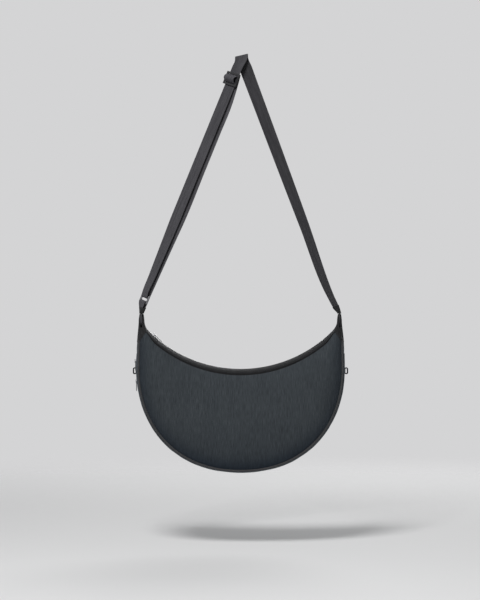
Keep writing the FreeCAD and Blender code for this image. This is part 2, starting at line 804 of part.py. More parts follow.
def fold_sections(side, lean):
    wires = []
    for angle in stations(90, 0, FOLD_STATIONS):
        face = Vector(0, side * cos(angle), sin(angle))
        width = Vector(1 / cos(lean), 0, 0)
        wires.append(webbing(APEX + face * FOLD, width, face, THICK))
    return wires


BAR = Vector(-size("ring_bar_half"), 0, -size("ring_bar_drop"))
LEFT_TOP = APEX + FORWARD * FOLD
LEFT_DOWN = (BAR - LEFT_TOP).normalize()
RING_WIDTH, RING_FACE = turned_frame(LEFT_DOWN, size("ring_turn_angle"))
RING_DOWN = RING_WIDTH.cross(RING_FACE).normalize()
RING_DOWN = RING_DOWN if RING_DOWN.z < 0 else -RING_DOWN
TURN = size("ring_wire") / 2 + GAP + THICK / 2
LEFT_LEAN = math.degrees(math.atan2(-LEFT_DOWN.x, -LEFT_DOWN.z))
LEFT_END = BAR + RING_FACE * TURN
LEFT_LINE = LEFT_END - LEFT_TOP
LEFT_LENGTH = LEFT_LINE.Length
LEFT_DOWN = LEFT_LINE.normalize()


def left_turn(station):
    run, twist = size("run_turn_angle"), size("run_twist_start")
    if station <= twist:
        return run
    part = (station - twist) / (LEFT_LENGTH - twist)
    return run + (size("ring_turn_angle") - run) * part


def left_section(station, offset):
    width, face = turned_frame(LEFT_DOWN, left_turn(station))
    return webbing(LEFT_TOP + LEFT_DOWN * station - face * offset, width, face, THICK)


LEFT_STATIONS = [size("run_start")] + stations(size("run_twist_start"), LEFT_LENGTH, FOLD_STATIONS)
left_wires = fold_sections(-1, LEFT_LEAN) + [left_section(s, 0) for s in LEFT_STATIONS[:-1]]
left_wires.append(webbing(LEFT_END, RING_WIDTH, RING_FACE, THICK))
keep_shape("strap_left_run", loft(left_wires, True))

# The strap turns round the upper bar of the ring and runs back up behind itself
turn_face = Part.Face(webbing(LEFT_END, RING_WIDTH, RING_FACE, THICK))
spin = RING_FACE.cross(RING_DOWN)
keep_shape("strap_ring_turn", turn_face.revolve(BAR, spin, 180))
return_top = size("adjuster_station") - size("adjuster_length") / 2
return_mid = (return_top + LEFT_LENGTH) / 2
return_spots = [(return_top, size("return_top_gap")), (return_mid, size("return_mid_gap")),
                (size("run_twist_start"), size("return_mid_gap"))]
return_wires = [left_section(s, g) for s, g in sorted(return_spots)]
for station in stations(size("run_twist_start"), LEFT_LENGTH, FOLD_STATIONS)[1:-1]:
    part = (station - size("run_twist_start")) / (LEFT_LENGTH - size("run_twist_start"))
    gap = size("return_mid_gap") + (2 * TURN - size("return_mid_gap")) * part
    return_wires.append(left_section(station, gap))
return_wires.append(webbing(BAR - RING_FACE * TURN, RING_WIDTH, RING_FACE, THICK))
keep_shape("strap_return_run", loft(return_wires, True))

# Right run: from the fold down the back to the lap in the right horn
RIGHT_TOP = APEX + ACROSS * FOLD
KNEE = Vector(size("right_knee_half"), 0, -size("right_knee_drop"))
BEND = Vector(size("right_bend_half"), 0, -size("right_bend_drop"))
RIGHT_LEAN = math.degrees(math.atan2(KNEE.x - RIGHT_TOP.x, RIGHT_TOP.z - KNEE.z))
LAP_TOP = LAP + Vector(0, 0, CHEEK + GAP)


def lap_end(lap, thickness):
    return Part.makeCylinder(WIDTH / 2, thickness, lap - Vector(thickness / 2, 0, 0),
                             Vector(1, 0, 0))


right_line = KNEE - RIGHT_TOP
right_wires = fold_sections(1, RIGHT_LEAN)
for share, angle in RIGHT_TURN_SHARES:
    width, face = turned_frame(right_line, angle)
    right_wires.append(webbing(RIGHT_TOP + right_line * share, width, -face, THICK))
width, face = turned_frame(LAP_TOP - KNEE, size("right_bend_turn_angle"))
right_wires.append(webbing(BEND, width, -face, THICK))
for spot in (LAP_TOP, LAP):
    right_wires.append(webbing(spot, FORWARD, Vector(1, 0, 0), THICK))
keep_shape("strap_right_run", loft(right_wires, True).fuse(lap_end(LAP, THICK)))


# Ring: a rectangle of round wire, and the doubled tab that ties it to the left horn
def ring(label):
    body = DOC.addObject("PartDesign::Body", label)
    wire = "dims.ring_wire"
    long = "dims.ring_inner_width / 2"
    half = "dims.ring_bar_spacing / 2"
    outer = box_loop(f"-({long} + {wire})", f"-({half} + {wire} / 2)",
                     f"{long} + {wire}", f"{half} + {wire} / 2")
    inner = box_loop(f"-({long})", f"-({half} - {wire} / 2)", long, f"{half} - {wire} / 2")
    plan = bound_sketch(body, "XY_Plane", label + "_plan", [outer, inner])
    pad(body, plan, label + "_pad", wire)
    fillet(body, label + "_corner", f"{wire} * {RING_CORNER_SHARE}", Vector(0, 0, 1))
    base = body.Tip
    names = []
    for i, edge in enumerate(base.Shape.Edges, start=1):
        box = edge.BoundBox
        if box.ZLength < GAP:
            names.append(f"Edge{i}")
    feature = body.newObject("PartDesign::Fillet", label + "_wire")
    feature.Base = (base, names)
    feature.setExpression("Radius", f"{wire} * {WIRE_ROUND_SHARE}")
    body.Tip = feature
    middle = BAR + RING_DOWN * (size("ring_bar_spacing") / 2)
    body.Placement = Placement(middle, Rotation(RING_WIDTH, -RING_DOWN, RING_FACE, "ZXY"))
    DOC.recompute()
    keep(body, label)


ring("strap_ring")
LOW_BAR = BAR + RING_DOWN * size("ring_bar_spacing")
LEFT_LAP = Vector(-LAP.x, 0, LAP.z)
bore = size("ring_wire") / 2 + GAP
outer = bore + THICK
tab_wires = [webbing(LOW_BAR, RING_WIDTH, RING_FACE, 2 * outer)]
for spot in (LEFT_LAP + Vector(0, 0, CHEEK + GAP), LEFT_LAP):
    tab_wires.append(webbing(spot, FORWARD, Vector(-1, 0, 0), TAB))
tab_start = LOW_BAR - RING_WIDTH * (WIDTH / 2)
tab = loft(tab_wires, True).fuse(Part.makeCylinder(outer, WIDTH, tab_start, RING_WIDTH))
tab = tab.fuse(lap_end(LEFT_LAP, TAB))
drill = Part.makeCylinder(bore, 2 * WIDTH, tab_start - RING_WIDTH * (WIDTH / 2), RING_WIDTH)
keep_shape("ring_tab", tab.cut(drill))


# Adjuster on the left run: a three-bar frame and the webbing that crosses its middle bar
ADJUST_WIDTH, ADJUST_FACE = turned_frame(LEFT_DOWN, size("run_turn_angle"))
ADJUST_SPOT = LEFT_TOP + LEFT_DOWN * size("adjuster_station")
ADJUST_SPOT = ADJUST_SPOT + ADJUST_FACE * ((THICK + size("adjuster_thickness")) / 2 + GAP)
ADJUST_PLACE = Placement(ADJUST_SPOT, Rotation(ADJUST_WIDTH, -LEFT_DOWN, ADJUST_FACE, "ZXY"))


def adjuster(label):
    body = DOC.addObject("PartDesign::Body", label)
    wide = "dims.adjuster_width / 2"
    long = "dims.adjuster_length / 2"
    inner = f"{wide} - dims.adjuster_rail"
    end = f"{long} - dims.adjuster_end_bar"
    bar = "dims.adjuster_mid_bar / 2"
    loops = [box_loop(f"-{wide}", f"-{long}", wide, long),
             box_loop(f"-({inner})", bar, inner, end),
             box_loop(f"-({inner})", f"-({end})", inner, f"-{bar}")]
    plan = bound_sketch(body, "XY_Plane", label + "_plan", loops)
    pad(body, plan, label + "_plate", "dims.adjuster_thickness")
    fillet(body, label + "_corner", "dims.adjuster_round", Vector(0, 0, 1))
    body.Placement = ADJUST_PLACE
    DOC.recompute()
    keep(body, label)


adjuster("adjuster_frame")
reach = size("adjuster_length") / 2 - size("adjuster_end_bar") - GAP
foot = -size("adjuster_thickness") / 2
peak = foot + size("crossover_rise")
half = WIDTH / 2
arch = [Vector(-half, y, z) for y, z in ((-reach, foot), (0, peak), (reach, foot))]
inset = THICK * (1 + WIDTH / size("adjuster_width"))
under = [Vector(-half, y, z) for y, z in
         ((inset - reach, foot), (0, peak - THICK), (reach - inset, foot))]
crossover = Part.Face(ribbon(arch, under)).extrude(Vector(WIDTH, 0, 0))
crossover.Placement = ADJUST_PLACE
keep_shape("adjuster_crossover", crossover)

# Check every piece and write it out
DOC.recompute()
os.makedirs("parts", exist_ok=True)
for item in DOC.Objects:
    if any(word in item.State for word in ("Invalid", "Error")):
        raise RuntimeError(f"{item.Label} did not build")
for node in NODES:
    if node.Shape.isNull() or not node.Shape.isValid() or not node.Shape.Solids:
        raise RuntimeError(f"{node.Label} has no valid solid")
    node.Shape.exportStep(f"parts/{node.Label}.step")
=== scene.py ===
# Half moon bag: the looks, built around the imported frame.
# Shapes are worked out in millimetres in the frame's axes and turned into metres when meshed.
import math

import bmesh
import bpy
import numpy as np
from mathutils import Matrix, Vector, noise


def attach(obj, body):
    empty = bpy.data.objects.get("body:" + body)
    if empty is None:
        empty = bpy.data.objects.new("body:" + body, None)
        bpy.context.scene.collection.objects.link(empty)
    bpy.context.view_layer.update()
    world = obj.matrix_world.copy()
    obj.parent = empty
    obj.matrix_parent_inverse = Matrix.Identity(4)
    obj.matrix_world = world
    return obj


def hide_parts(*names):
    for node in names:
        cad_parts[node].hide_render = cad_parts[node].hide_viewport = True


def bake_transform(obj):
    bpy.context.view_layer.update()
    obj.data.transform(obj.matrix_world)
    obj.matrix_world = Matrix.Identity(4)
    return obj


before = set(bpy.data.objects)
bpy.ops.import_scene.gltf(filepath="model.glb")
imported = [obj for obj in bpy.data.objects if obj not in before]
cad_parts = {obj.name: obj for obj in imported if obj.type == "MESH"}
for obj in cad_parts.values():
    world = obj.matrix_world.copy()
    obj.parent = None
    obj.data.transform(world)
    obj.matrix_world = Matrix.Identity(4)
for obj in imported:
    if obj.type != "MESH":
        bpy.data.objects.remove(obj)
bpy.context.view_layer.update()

MM = 0.001
SIDES = (("front", -1), ("back", 1))
HANDS = (("left", -1), ("right", 1))
ACROSS = np.array((0.0, 1.0, 0.0))
FORWARD = -ACROSS
RIGHT = np.array((1.0, 0.0, 0.0))
LEFT = -RIGHT


# Small sums that every piece uses
def sin(angle):
    return math.sin(math.radians(angle))


def cos(angle):
    return math.cos(math.radians(angle))


def unit(vector):
    return vector / np.linalg.norm(vector)


def held(value):
    """The value kept between 0 and 1."""
    return min(1.0, max(0.0, value))


def spread(low, high, count):
    return [low + (high - low) * k / count for k in range(count + 1)]


def swell(part):
    """Rises from 0 at both ends to 1 half way."""
    return 4 * part * (1 - part)


def rough(point, size, seed=0.0):
    """Smooth noise about zero at a place in millimetres."""
    place = Vector((point[0] / size + seed, point[1] / size, point[2] / size - seed))
    return noise.noise(place)


def waves(point, sign, rows):
    """Sum of noises, each row a height, a size and a seed."""
    return sum(height * rough(point, size, seed * sign) for height, size, seed in rows)


def lengths(points):
    """Distance along a row of points, from its first."""
    steps = [0.0]
    for a, b in zip(points, points[1:]):
        steps.append(steps[-1] + float(np.linalg.norm(np.asarray(b) - np.asarray(a))))
    return steps


def three_point(first, middle, last, part):
    """Point on the parabola through three points, the middle one at half way."""
    bend = middle - (first + last) / 2
    return first + (last - first) * part + bend * swell(part)


def hermite(first, into, last, out, t):
    """Point on the cubic from first to last that leaves along into and arrives along out."""
    start = first * (2 * t ** 3 - 3 * t ** 2 + 1) + into * (t ** 3 - 2 * t ** 2 + t)
    return start + last * (3 * t ** 2 - 2 * t ** 3) + out * (t ** 3 - t ** 2)


def squared_round(turn, power):
    """Point of a circle that a power above 2 squares off."""
    x = math.copysign(abs(cos(turn)) ** (2 / power), cos(turn))
    y = math.copysign(abs(sin(turn)) ** (2 / power), sin(turn))
    return x, y


# Outline of the bag, the same curves as the solids follow; shares run from -1, left, to 1, right
ZIP_RADIUS = 250.0
ZIP_CENTRE = np.array((0.0, 0.0, -346.0))
ZIP_END_ANGLE = 44.494
LIP_ANGLE = 38.494
HORN_TURN_ANGLE = 84.0
HORN_CURVE_RADIUS = 33.0
OUTLINE_CENTRE = np.array((0.0, 0.0, -589.0))
HALF_WIDTH = 197.5
HALF_HEIGHT = 201.0
OUTLINE_POWER = 2.18
HORN_FLANK_RADIUS = 830.0
HORN_RISE = 83.96
TOP_DEPTH = 26.0
TOP_DEPTH_POWER = 1.3
BASE_DEPTH = 38.0
BASE_DEPTH_POWER = 1.2
HORN_DEPTH = 13.5
TOP_CROWN = 8.5
SIDE_CROWN = 5.0
CROWN_LOSS = 0.85
ZIP_END_SHARE = 0.75
WIDEST_SHARE = 0.5
LIP_SHARE = ZIP_END_SHARE * LIP_ANGLE / ZIP_END_ANGLE
BAND_TAPER = 0.2
BAND_END = 0.25
PANEL_END = 0.8
FACING_END = 0.79
LINING_END = 0.68
CAP_BASE = 0.788
GUSSET_HALF_ANGLE = 97.0
GUSSET_SHARE = WIDEST_SHARE + (1 - WIDEST_SHARE) * HALF_WIDTH * math.tan(
    math.radians(GUSSET_HALF_ANGLE - 90)) / HORN_RISE
GUSSET_ZIP_RADIUS = 196.0
PIPING_RADIUS = 1.8
GAP = 0.3
TAPE_HALF_WIDTH = 9.0
TAPE_THICKNESS = 0.6
ROW_INNER = 0.8
ROW_OUTER = 3.4
ROW_HALF_HEIGHT = 1.2


def past_lip(share):
    return max(0.0, abs(share) - LIP_SHARE) / (1 - LIP_SHARE)


def band_share(share):
    """Height of the band above the panel, as a share of its height in the middle."""
    part = abs(share)
    if part <= LIP_SHARE:
        return 1 - BAND_TAPER * (part / LIP_SHARE) ** 2
    rest = min(1.0, (part - LIP_SHARE) / (ZIP_END_SHARE - LIP_SHARE))
    return 1 - BAND_TAPER - (1 - BAND_TAPER - BAND_END) * rest ** 2 * (3 - 2 * rest)


def top_angle(share):
    part = abs(share)
    if part <= ZIP_END_SHARE:
        return ZIP_END_ANGLE * part / ZIP_END_SHARE
    rest = (part - ZIP_END_SHARE) / (1 - ZIP_END_SHARE)
    return ZIP_END_ANGLE + (HORN_TURN_ANGLE - ZIP_END_ANGLE) * rest


def top_point(share, drop):
    """Point below the top edge, which follows the zip and then turns up into the horn."""
    angle = top_angle(share)
    centre, radius = ZIP_CENTRE, ZIP_RADIUS
    if angle > ZIP_END_ANGLE:
        shift = ZIP_RADIUS - HORN_CURVE_RADIUS
        centre = ZIP_CENTRE + np.array((shift * sin(ZIP_END_ANGLE), 0, -shift * cos(ZIP_END_ANGLE)))
        radius = HORN_CURVE_RADIUS
    reach = radius + drop
    point = centre + np.array((reach * sin(angle), 0, -reach * cos(angle)))
    point[0] = math.copysign(point[0], share)
    return point


def side_offset(share):
    """From the outline's centre to the side edge: a squared oval below, a gentle arc up each horn."""
    part = abs(share)
    if part <= WIDEST_SHARE:
        angle = 90 * part / WIDEST_SHARE
        total = (sin(angle) / HALF_WIDTH) ** OUTLINE_POWER + (cos(angle) / HALF_HEIGHT) ** OUTLINE_POWER
        reach = total ** (-1 / OUTLINE_POWER)
        x, z = reach * sin(angle), -reach * cos(angle)
    else:
        z = HORN_RISE * (part - WIDEST_SHARE) / (1 - WIDEST_SHARE)
        x = HALF_WIDTH - z ** 2 / (2 * HORN_FLANK_RADIUS)
    return np.array((math.copysign(x, share), 0, z))


def outward(share):
    return unit(side_offset(share))


def side_point(share, inset):
    return OUTLINE_CENTRE + side_offset(share) - outward(share) * inset


def seam_point(share):
    """Where the side seam runs, seen from the front."""
    return side_point(share, SIDE_CROWN * (1 - CROWN_LOSS * past_lip(share) ** 2))


def top_depth(share):
    return TOP_DEPTH - (TOP_DEPTH - HORN_DEPTH) * past_lip(share) ** TOP_DEPTH_POWER


def side_depth(share):
    return HORN_DEPTH + (BASE_DEPTH - HORN_DEPTH) * cos(90 * share) ** BASE_DEPTH_POWER


# Materials: colours are as the eye sees them, from 0 to 255, and sizes are in millimetres
YARN_STOPS = (0.34, 0.5, 0.68)
GRAIN_STOPS = (0.35, 0.65)
BROAD_SCALE = 3.5
BLOTCH = (50.0, 65.0)
WEFT_SCALE = 1.15
CLOTH_BUMP = 0.6
# How much each channel of the cloth loses to painted shade; blue loses least, so the painted shade is bluer.
SHADE_TINT = (1.0, 0.88, 0.72)
WHITE = (1.0, 1.0, 1.0)
WEB_PITCH = (1.9, 0.9)
WEB_FINE = (0.7, 9.0)
WEB_BROAD = (3.0, 60.0)
WEB_RELIEF = 0.25
BRUSHED_SCALE = 6.0
PIT_SCALE = 900.0
HARD_BUMP = 0.35


def tone(red, green, blue):
    """A colour from 0 to 255, as the eye sees it, turned into linear light."""
    values = []
    for part in (red, green, blue):
        part = part / 255
        values.append(part / 12.92 if part <= 0.04045 else ((part + 0.055) / 1.055) ** 2.4)
    return (*values, 1.0)


def add(tree, kind, inputs=None, **settings):
    node = tree.nodes.new(kind)
    for key, value in settings.items():
        setattr(node, key, value)
    for key, value in (inputs or {}).items():
        if isinstance(value, bpy.types.NodeSocket):
            tree.links.new(value, node.inputs[key])
        else:
            node.inputs[key].default_value = value
    return node


def maths(tree, operation, first, second=0.0, third=0.0):
    node = add(tree, "ShaderNodeMath", {0: first, 1: second, 2: third}, operation=operation)
    return node.outputs[0]


def weighted(tree, *pairs):
    """Sum of values, each with its weight."""
    total = 0.0
    for value, weight in pairs:
        total = maths(tree, "MULTIPLY_ADD", value, weight, total)
    return total


def vectors(tree, operation, inputs):
    return add(tree, "ShaderNodeVectorMath", inputs, operation=operation).outputs[0]


def blank(name, **sockets):
    made = bpy.data.materials.new(name)
    made.use_nodes = True
    shader = made.node_tree.nodes["Principled BSDF"]
    for key, value in sockets.items():
        shader.inputs[key.replace("_", " ").title().replace("Ior", "IOR")].default_value = value
    return made, made.node_tree, shader


def ramp(tree, factor, places, colours):
    node = add(tree, "ShaderNodeValToRGB", {"Fac": factor})
    elements = node.color_ramp.elements
    while len(elements) < len(places):
        elements.new(0.5)
    for element, place, colour in zip(elements, places, colours):
        element.position = place
        element.color = tone(*colour)
    return node.outputs["Color"]


def streaks(tree, vector, across, along, detail=3.0):
    """Noise drawn out along the second coordinate."""
    scaled = vectors(tree, "MULTIPLY", {0: vector, 1: (1 / (across * MM), 1 / (along * MM), 1.0)})
    node = add(tree, "ShaderNodeTexNoise", {"Vector": scaled, "Scale": 1.0,
                                            "Detail": detail, "Roughness": 0.6})
    return node.outputs["Fac"]


def thread_waves(tree, vector, pitch_u, pitch_v, slant=0.0):
    """Raised threads of two sets, each between -1 and 1."""
    split = add(tree, "ShaderNodeSeparateXYZ", {0: vector})
    u, v = split.outputs[0], split.outputs[1]
    leaning = maths(tree, "MULTIPLY_ADD", v, slant, u)
    first = maths(tree, "SINE", maths(tree, "MULTIPLY", leaning, 2 * math.pi / (pitch_u * MM)))
    second = maths(tree, "SINE", maths(tree, "MULTIPLY", v, 2 * math.pi / (pitch_v * MM)))
    return first, second


def darkened(tree, colour, tint):
    """The colour made darker by the shade painted on the mesh, the more the higher the tint of a channel."""
    painted_shade = add(tree, "ShaderNodeAttribute", attribute_name="shade").outputs["Fac"]
    lost = vectors(tree, "SCALE", {0: tint, "Scale": painted_shade})
    kept = vectors(tree, "SUBTRACT", {0: WHITE, 1: lost})
    return vectors(tree, "MULTIPLY", {0: colour, 1: kept})


def surface(tree, shader, colour, roughness, height, strength, relief):
    tree.links.new(colour, shader.inputs["Base Color"])
    tree.links.new(roughness, shader.inputs["Roughness"])
    bump = add(tree, "ShaderNodeBump", {"Height": height, "Strength": strength, "Distance": relief * MM})
    tree.links.new(bump.outputs[0], shader.inputs["Normal"])


def cloth_material(name, yarns, pitch, heather, relief, slant=0.0, sheen=0.06):
    """Woven cloth: heathered yarn colour, raised threads and uneven roughness."""
    made, tree, shader = blank(name, sheen_weight=sheen, sheen_roughness=0.5, specular_ior_level=0.18,
                               sheen_tint=tone(150, 156, 164))
    uv = add(tree, "ShaderNodeUVMap", uv_map="cloth").outputs[0]
    fine = streaks(tree, uv, *heather)
    broad = streaks(tree, uv, heather[0] * BROAD_SCALE, heather[1] * BROAD_SCALE, 2.0)
    blotch = streaks(tree, uv, *BLOTCH, 2.0)
    warp, weft = thread_waves(tree, uv, pitch, pitch * WEFT_SCALE, slant)
    crossing = maths(tree, "MULTIPLY", warp, weft)
    mixed = weighted(tree, (fine, 0.66), (broad, 0.22), (blotch, 0.12), (crossing, 0.035))
    # Painted shade from the mesh darkens the yarn colour.
    colour = darkened(tree, ramp(tree, mixed, YARN_STOPS, yarns), SHADE_TINT)
    roughness = maths(tree, "MULTIPLY_ADD", fine, 0.22, 0.74)
    height = weighted(tree, (crossing, 1.0), (fine, 0.8))
    surface(tree, shader, colour, roughness, height, CLOTH_BUMP, relief)
    return made


def webbing_material(name, *yarns):
    """Flat webbing: lengthwise cords and fine cross ribs."""
    made, tree, shader = blank(name, sheen_weight=0.08, sheen_roughness=0.45, specular_ior_level=0.25,
                               sheen_tint=tone(160, 160, 168))
    uv = add(tree, "ShaderNodeUVMap", uv_map="cloth").outputs[0]
    cords, ribs = thread_waves(tree, uv, *WEB_PITCH)
    fine = streaks(tree, uv, *WEB_FINE)
    broad = streaks(tree, uv, *WEB_BROAD, 2.0)
    mixed = weighted(tree, (fine, 0.5), (broad, 0.5), (cords, 0.05), (ribs, 0.025))
    # Painted shade from the mesh darkens the webbing's colour.
    colour = darkened(tree, ramp(tree, mixed, YARN_STOPS, yarns), WHITE)
    roughness = maths(tree, "MULTIPLY_ADD", fine, 0.3, 0.55)
    height = weighted(tree, (cords, 0.6), (ribs, 0.35), (fine, 0.5))
    surface(tree, shader, colour, roughness, height, CLOTH_BUMP, WEB_RELIEF)
    return made


def hard_material(name, dark, light, metallic, gloss, grain, relief):
    """Metal or moulded plastic with faint grain, uneven gloss and tiny pits."""
    made, tree, shader = blank(name, metallic=metallic)
    place = add(tree, "ShaderNodeTexCoord").outputs["Object"]
    brushed = streaks(tree, place, grain, grain * BRUSHED_SCALE, 4.0)
    noisy = add(tree, "ShaderNodeTexNoise", {"Vector": place, "Scale": PIT_SCALE, "Detail": 3.0})
    pits = noisy.outputs["Fac"]
    colour = ramp(tree, brushed, GRAIN_STOPS, (dark, light))
    roughness = maths(tree, "MULTIPLY_ADD", pits, 0.24, gloss - 0.12)
    height = weighted(tree, (brushed, 1.0), (pits, 0.5))
    surface(tree, shader, colour, roughness, height, HARD_BUMP, relief)
    return made


SHELL = cloth_material("shell_cloth", ((44, 48, 52), (58, 63, 67), (73, 78, 82)), 0.8, (0.8, 14), 0.22)
GUSSET = cloth_material("gusset_cloth", ((47, 51, 55), (61, 66, 70), (76, 81, 85)), 0.8, (0.8, 14), 0.22,
                        sheen=0.3)
BAND = cloth_material("band_cloth", ((27, 27, 28), (36, 36, 37), (48, 48, 49)), 1.1, (0.9, 6), 0.25,
                      slant=0.6)
PIPING = cloth_material("piping_cloth", ((48, 48, 49), (63, 63, 64), (79, 79, 80)), 0.8, (0.7, 5), 0.2,
                        slant=1.0, sheen=0.25)
CAP = cloth_material("cap_cloth", ((25, 25, 26), (36, 36, 37), (50, 50, 51)), 0.9, (1.2, 11), 0.25)
LINING = cloth_material("lining_cloth", ((46, 48, 52), (56, 58, 62), (64, 66, 70)), 0.45, (0.5, 2.5), 0.1)
TAPE = cloth_material("tape_cloth", ((30, 31, 34), (39, 40, 43), (50, 51, 54)), 0.7, (0.5, 3), 0.16,
                      slant=1.0)
THREAD = cloth_material("thread", ((44, 46, 49), (60, 62, 65), (78, 80, 83)), 0.35, (0.3, 1.2), 0.08,
                        slant=1.0)
WEBBING = webbing_material("strap_webbing", (53, 52, 56), (69, 68, 72), (86, 85, 89))
LOOP_WEBBING = webbing_material("loop_webbing", (30, 31, 33), (42, 43, 45), (56, 57, 59))
TEETH = hard_material("zip_nylon", (30, 31, 33), (46, 47, 50), 0.0, 0.42, 1.2, 0.05)
SLIDER_METAL = hard_material("slider_metal", (178, 178, 181), (216, 216, 218), 1.0, 0.26, 0.8, 0.03)
PULL_METAL = hard_material("pull_metal", (70, 71, 74), (104, 105, 108), 1.0, 0.4, 0.8, 0.03)
RING_METAL = hard_material("ring_metal", (96, 96, 99), (140, 140, 143), 1.0, 0.36, 1.0, 0.03)
PLASTIC = hard_material("adjuster_plastic", (19, 19, 21), (29, 29, 32), 0.0, 0.55, 2.0, 0.06)


# Mesh helpers: a form is its points, its faces and a cloth coordinate for each point
CREASE_ANGLE = 42
CREASE_ANGLES = {WEBBING: 60, LOOP_WEBBING: 60, BAND: 70, TEETH: 80}
STITCH_SIDES = 6
STITCH_PROFILE = ((0.0, 0.35), (0.18, 0.9), (0.5, 1.0), (0.82, 0.9), (1.0, 0.35))
STITCH_MARK = (3, 10)


def linked(name, data):
    made = bpy.data.objects.new(name, data)
    bpy.context.scene.collection.objects.link(made)
    return made


def simple_mesh(name, make, **settings):
    mesh = bpy.data.meshes.new(name)
    shape = bmesh.new()
    make(shape, **settings)
    shape.to_mesh(mesh)
    shape.free()
    return mesh


def finish_mesh(name, verts, faces, uvs, material, shade=None):
    """A mesh object from points in millimetres, with cloth coordinates in metres.

    shade says how much painted shade darkens the cloth at each point."""
    mesh = bpy.data.meshes.new(name)
    mesh.from_pydata([tuple(v * MM for v in p) for p in verts], [], faces)
    shape = bmesh.new()
    shape.from_mesh(mesh)
    layer = shape.loops.layers.uv.new("cloth")
    shape.verts.ensure_lookup_table()
    for face in shape.faces:
        for loop in face.loops:
            u, v = uvs[loop.vert.index]
            loop[layer].uv = (u * MM, v * MM)
    bmesh.ops.recalc_face_normals(shape, faces=shape.faces)
    shape.to_mesh(mesh)
    shape.free()
    mesh.polygons.foreach_set("use_smooth", [True] * len(mesh.polygons))
    mesh.set_sharp_from_angle(angle=math.radians(CREASE_ANGLES.get(material, CREASE_ANGLE)))
    mesh.materials.append(material)
    # Painted shade is kept on the points, and the material darkens the colour by it.
    if shade:
        painted_shade = mesh.attributes.new("shade", "FLOAT", "POINT")
        painted_shade.data.foreach_set("value", shade)
    return linked(name, mesh)


def placed(piece, body, slot, *nodes):
    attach(piece, body)
    if nodes:
        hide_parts(*nodes)


def cover(name, form, material, *place, shade=None):
    """A form made into a piece and put in its place: on its body, with the nodes it stands for hidden; the
    slot is not used.
    """
    placed(finish_mesh(name, *form, material, shade), *place)


def layers(spot, shares, rows, sign, levels, *more):
    """Grids of the points that spot gives for a share and a part, one grid for each level."""
    parts = spread(0, 1, rows)
    return [[[spot(s, p, sign, level, *more) for p in parts] for s in shares] for level in levels]


def marked(grid, first, second):
    """Cloth coordinates for a grid of points, from two of their three axes."""
    return [[(p[first], p[second]) for p in row] for row in grid]


def slab(outer, inner, uvs, closed=False):
    """Cloth between two grids of points; closed joins the last row to the first."""
    rows, columns = len(outer), len(outer[0])
    verts = [p for row in outer for p in row] + [p for row in inner for p in row]
    total = rows * columns
    marks = [m for row in uvs for m in row] * 2
    faces = []
    for i in range(rows if closed else rows - 1):
        after = (i + 1) % rows
        for j in range(columns - 1):
            quad = [i * columns + j, after * columns + j, after * columns + j + 1, i * columns + j + 1]
            faces.append(quad)
            faces.append([total + k for k in reversed(quad)])
        for j in (0, columns - 1):
            a, b = i * columns + j, after * columns + j
            faces.append([a, b, total + b, total + a])
    if not closed:
        for i in (0, rows - 1):
            for j in range(columns - 1):
                a, b = i * columns + j, i * columns + j + 1
                faces.append([a, b, total + b, total + a])
    return verts, faces, marks


def ring_faces(rings, sides):
    """Faces round a row of rings of points, with a lid on each end."""
    faces = []
    for r in range(rings - 1):
        for s in range(sides):
            after = (s + 1) % sides
            faces.append([r * sides + s, r * sides + after, (r + 1) * sides + after, (r + 1) * sides + s])
    faces.append(list(range(sides)))
    faces.append([(rings - 1) * sides + s for s in reversed(range(sides))])
    return faces


def tube(points, radius, sides):
    steps = lengths(points)
    verts, marks = [], []
    for k, spot in enumerate(points):
        along = unit(points[min(k + 1, len(points) - 1)] - points[max(k - 1, 0)])
        up = unit(np.cross(along, np.cross(ACROSS, along)))
        across = np.cross(along, up)
        for s in range(sides):
            turn = 360 * s / sides
            verts.append(spot + (up * cos(turn) + across * sin(turn)) * radius)
            marks.append((2 * math.pi * radius * s / sides, steps[k]))
    return verts, ring_faces(len(points), sides), marks


def merged(groups):
    """Several forms as one."""
    verts, faces, marks = [], [], []
    for more_verts, more_faces, more_marks in groups:
        start = len(verts)
        verts += list(more_verts)
        faces += [[start + k for k in face] for face in more_faces]
        marks += list(more_marks)
    return verts, faces, marks


def stitch(points, normals, steps, start, length, radius, sunk, flatness=0.8):
    """One thread end from a start along a line: a tapered capsule."""
    verts, marks = [], []
    for r, (share, fullness) in enumerate(STITCH_PROFILE):
        spot = start + length * share
        k = min(int(np.searchsorted(steps, spot)), len(points) - 1)
        back = points[k - 1]
        part = (spot - steps[k - 1]) / (steps[k] - steps[k - 1])
        along = unit(points[k] - back)
        up = unit(normals[k] - along * float(np.dot(normals[k], along)))
        across = np.cross(along, up)
        centre = back + (points[k] - back) * part + up * (radius * (0.5 + 0.5 * fullness) - sunk)
        for s in range(STITCH_SIDES):
            turn = 360 * s / STITCH_SIDES
            verts.append(centre + (across * cos(turn) + up * flatness * sin(turn)) * radius * fullness)
            marks.append((STITCH_MARK[0] * s, STITCH_MARK[1] * r))
    return verts, ring_faces(len(STITCH_PROFILE), STITCH_SIDES), marks


def stitch_row(points, normals, length=2.6, gap=1.1, radius=0.26, sunk=0.05):
    """Short thread ends laid along a line."""
    steps = lengths(points)
    groups = []
    place = gap
    while place + length < steps[-1]:
        groups.append(stitch(points, normals, steps, place, length, radius, sunk))
        place += length + gap
    return merged(groups)


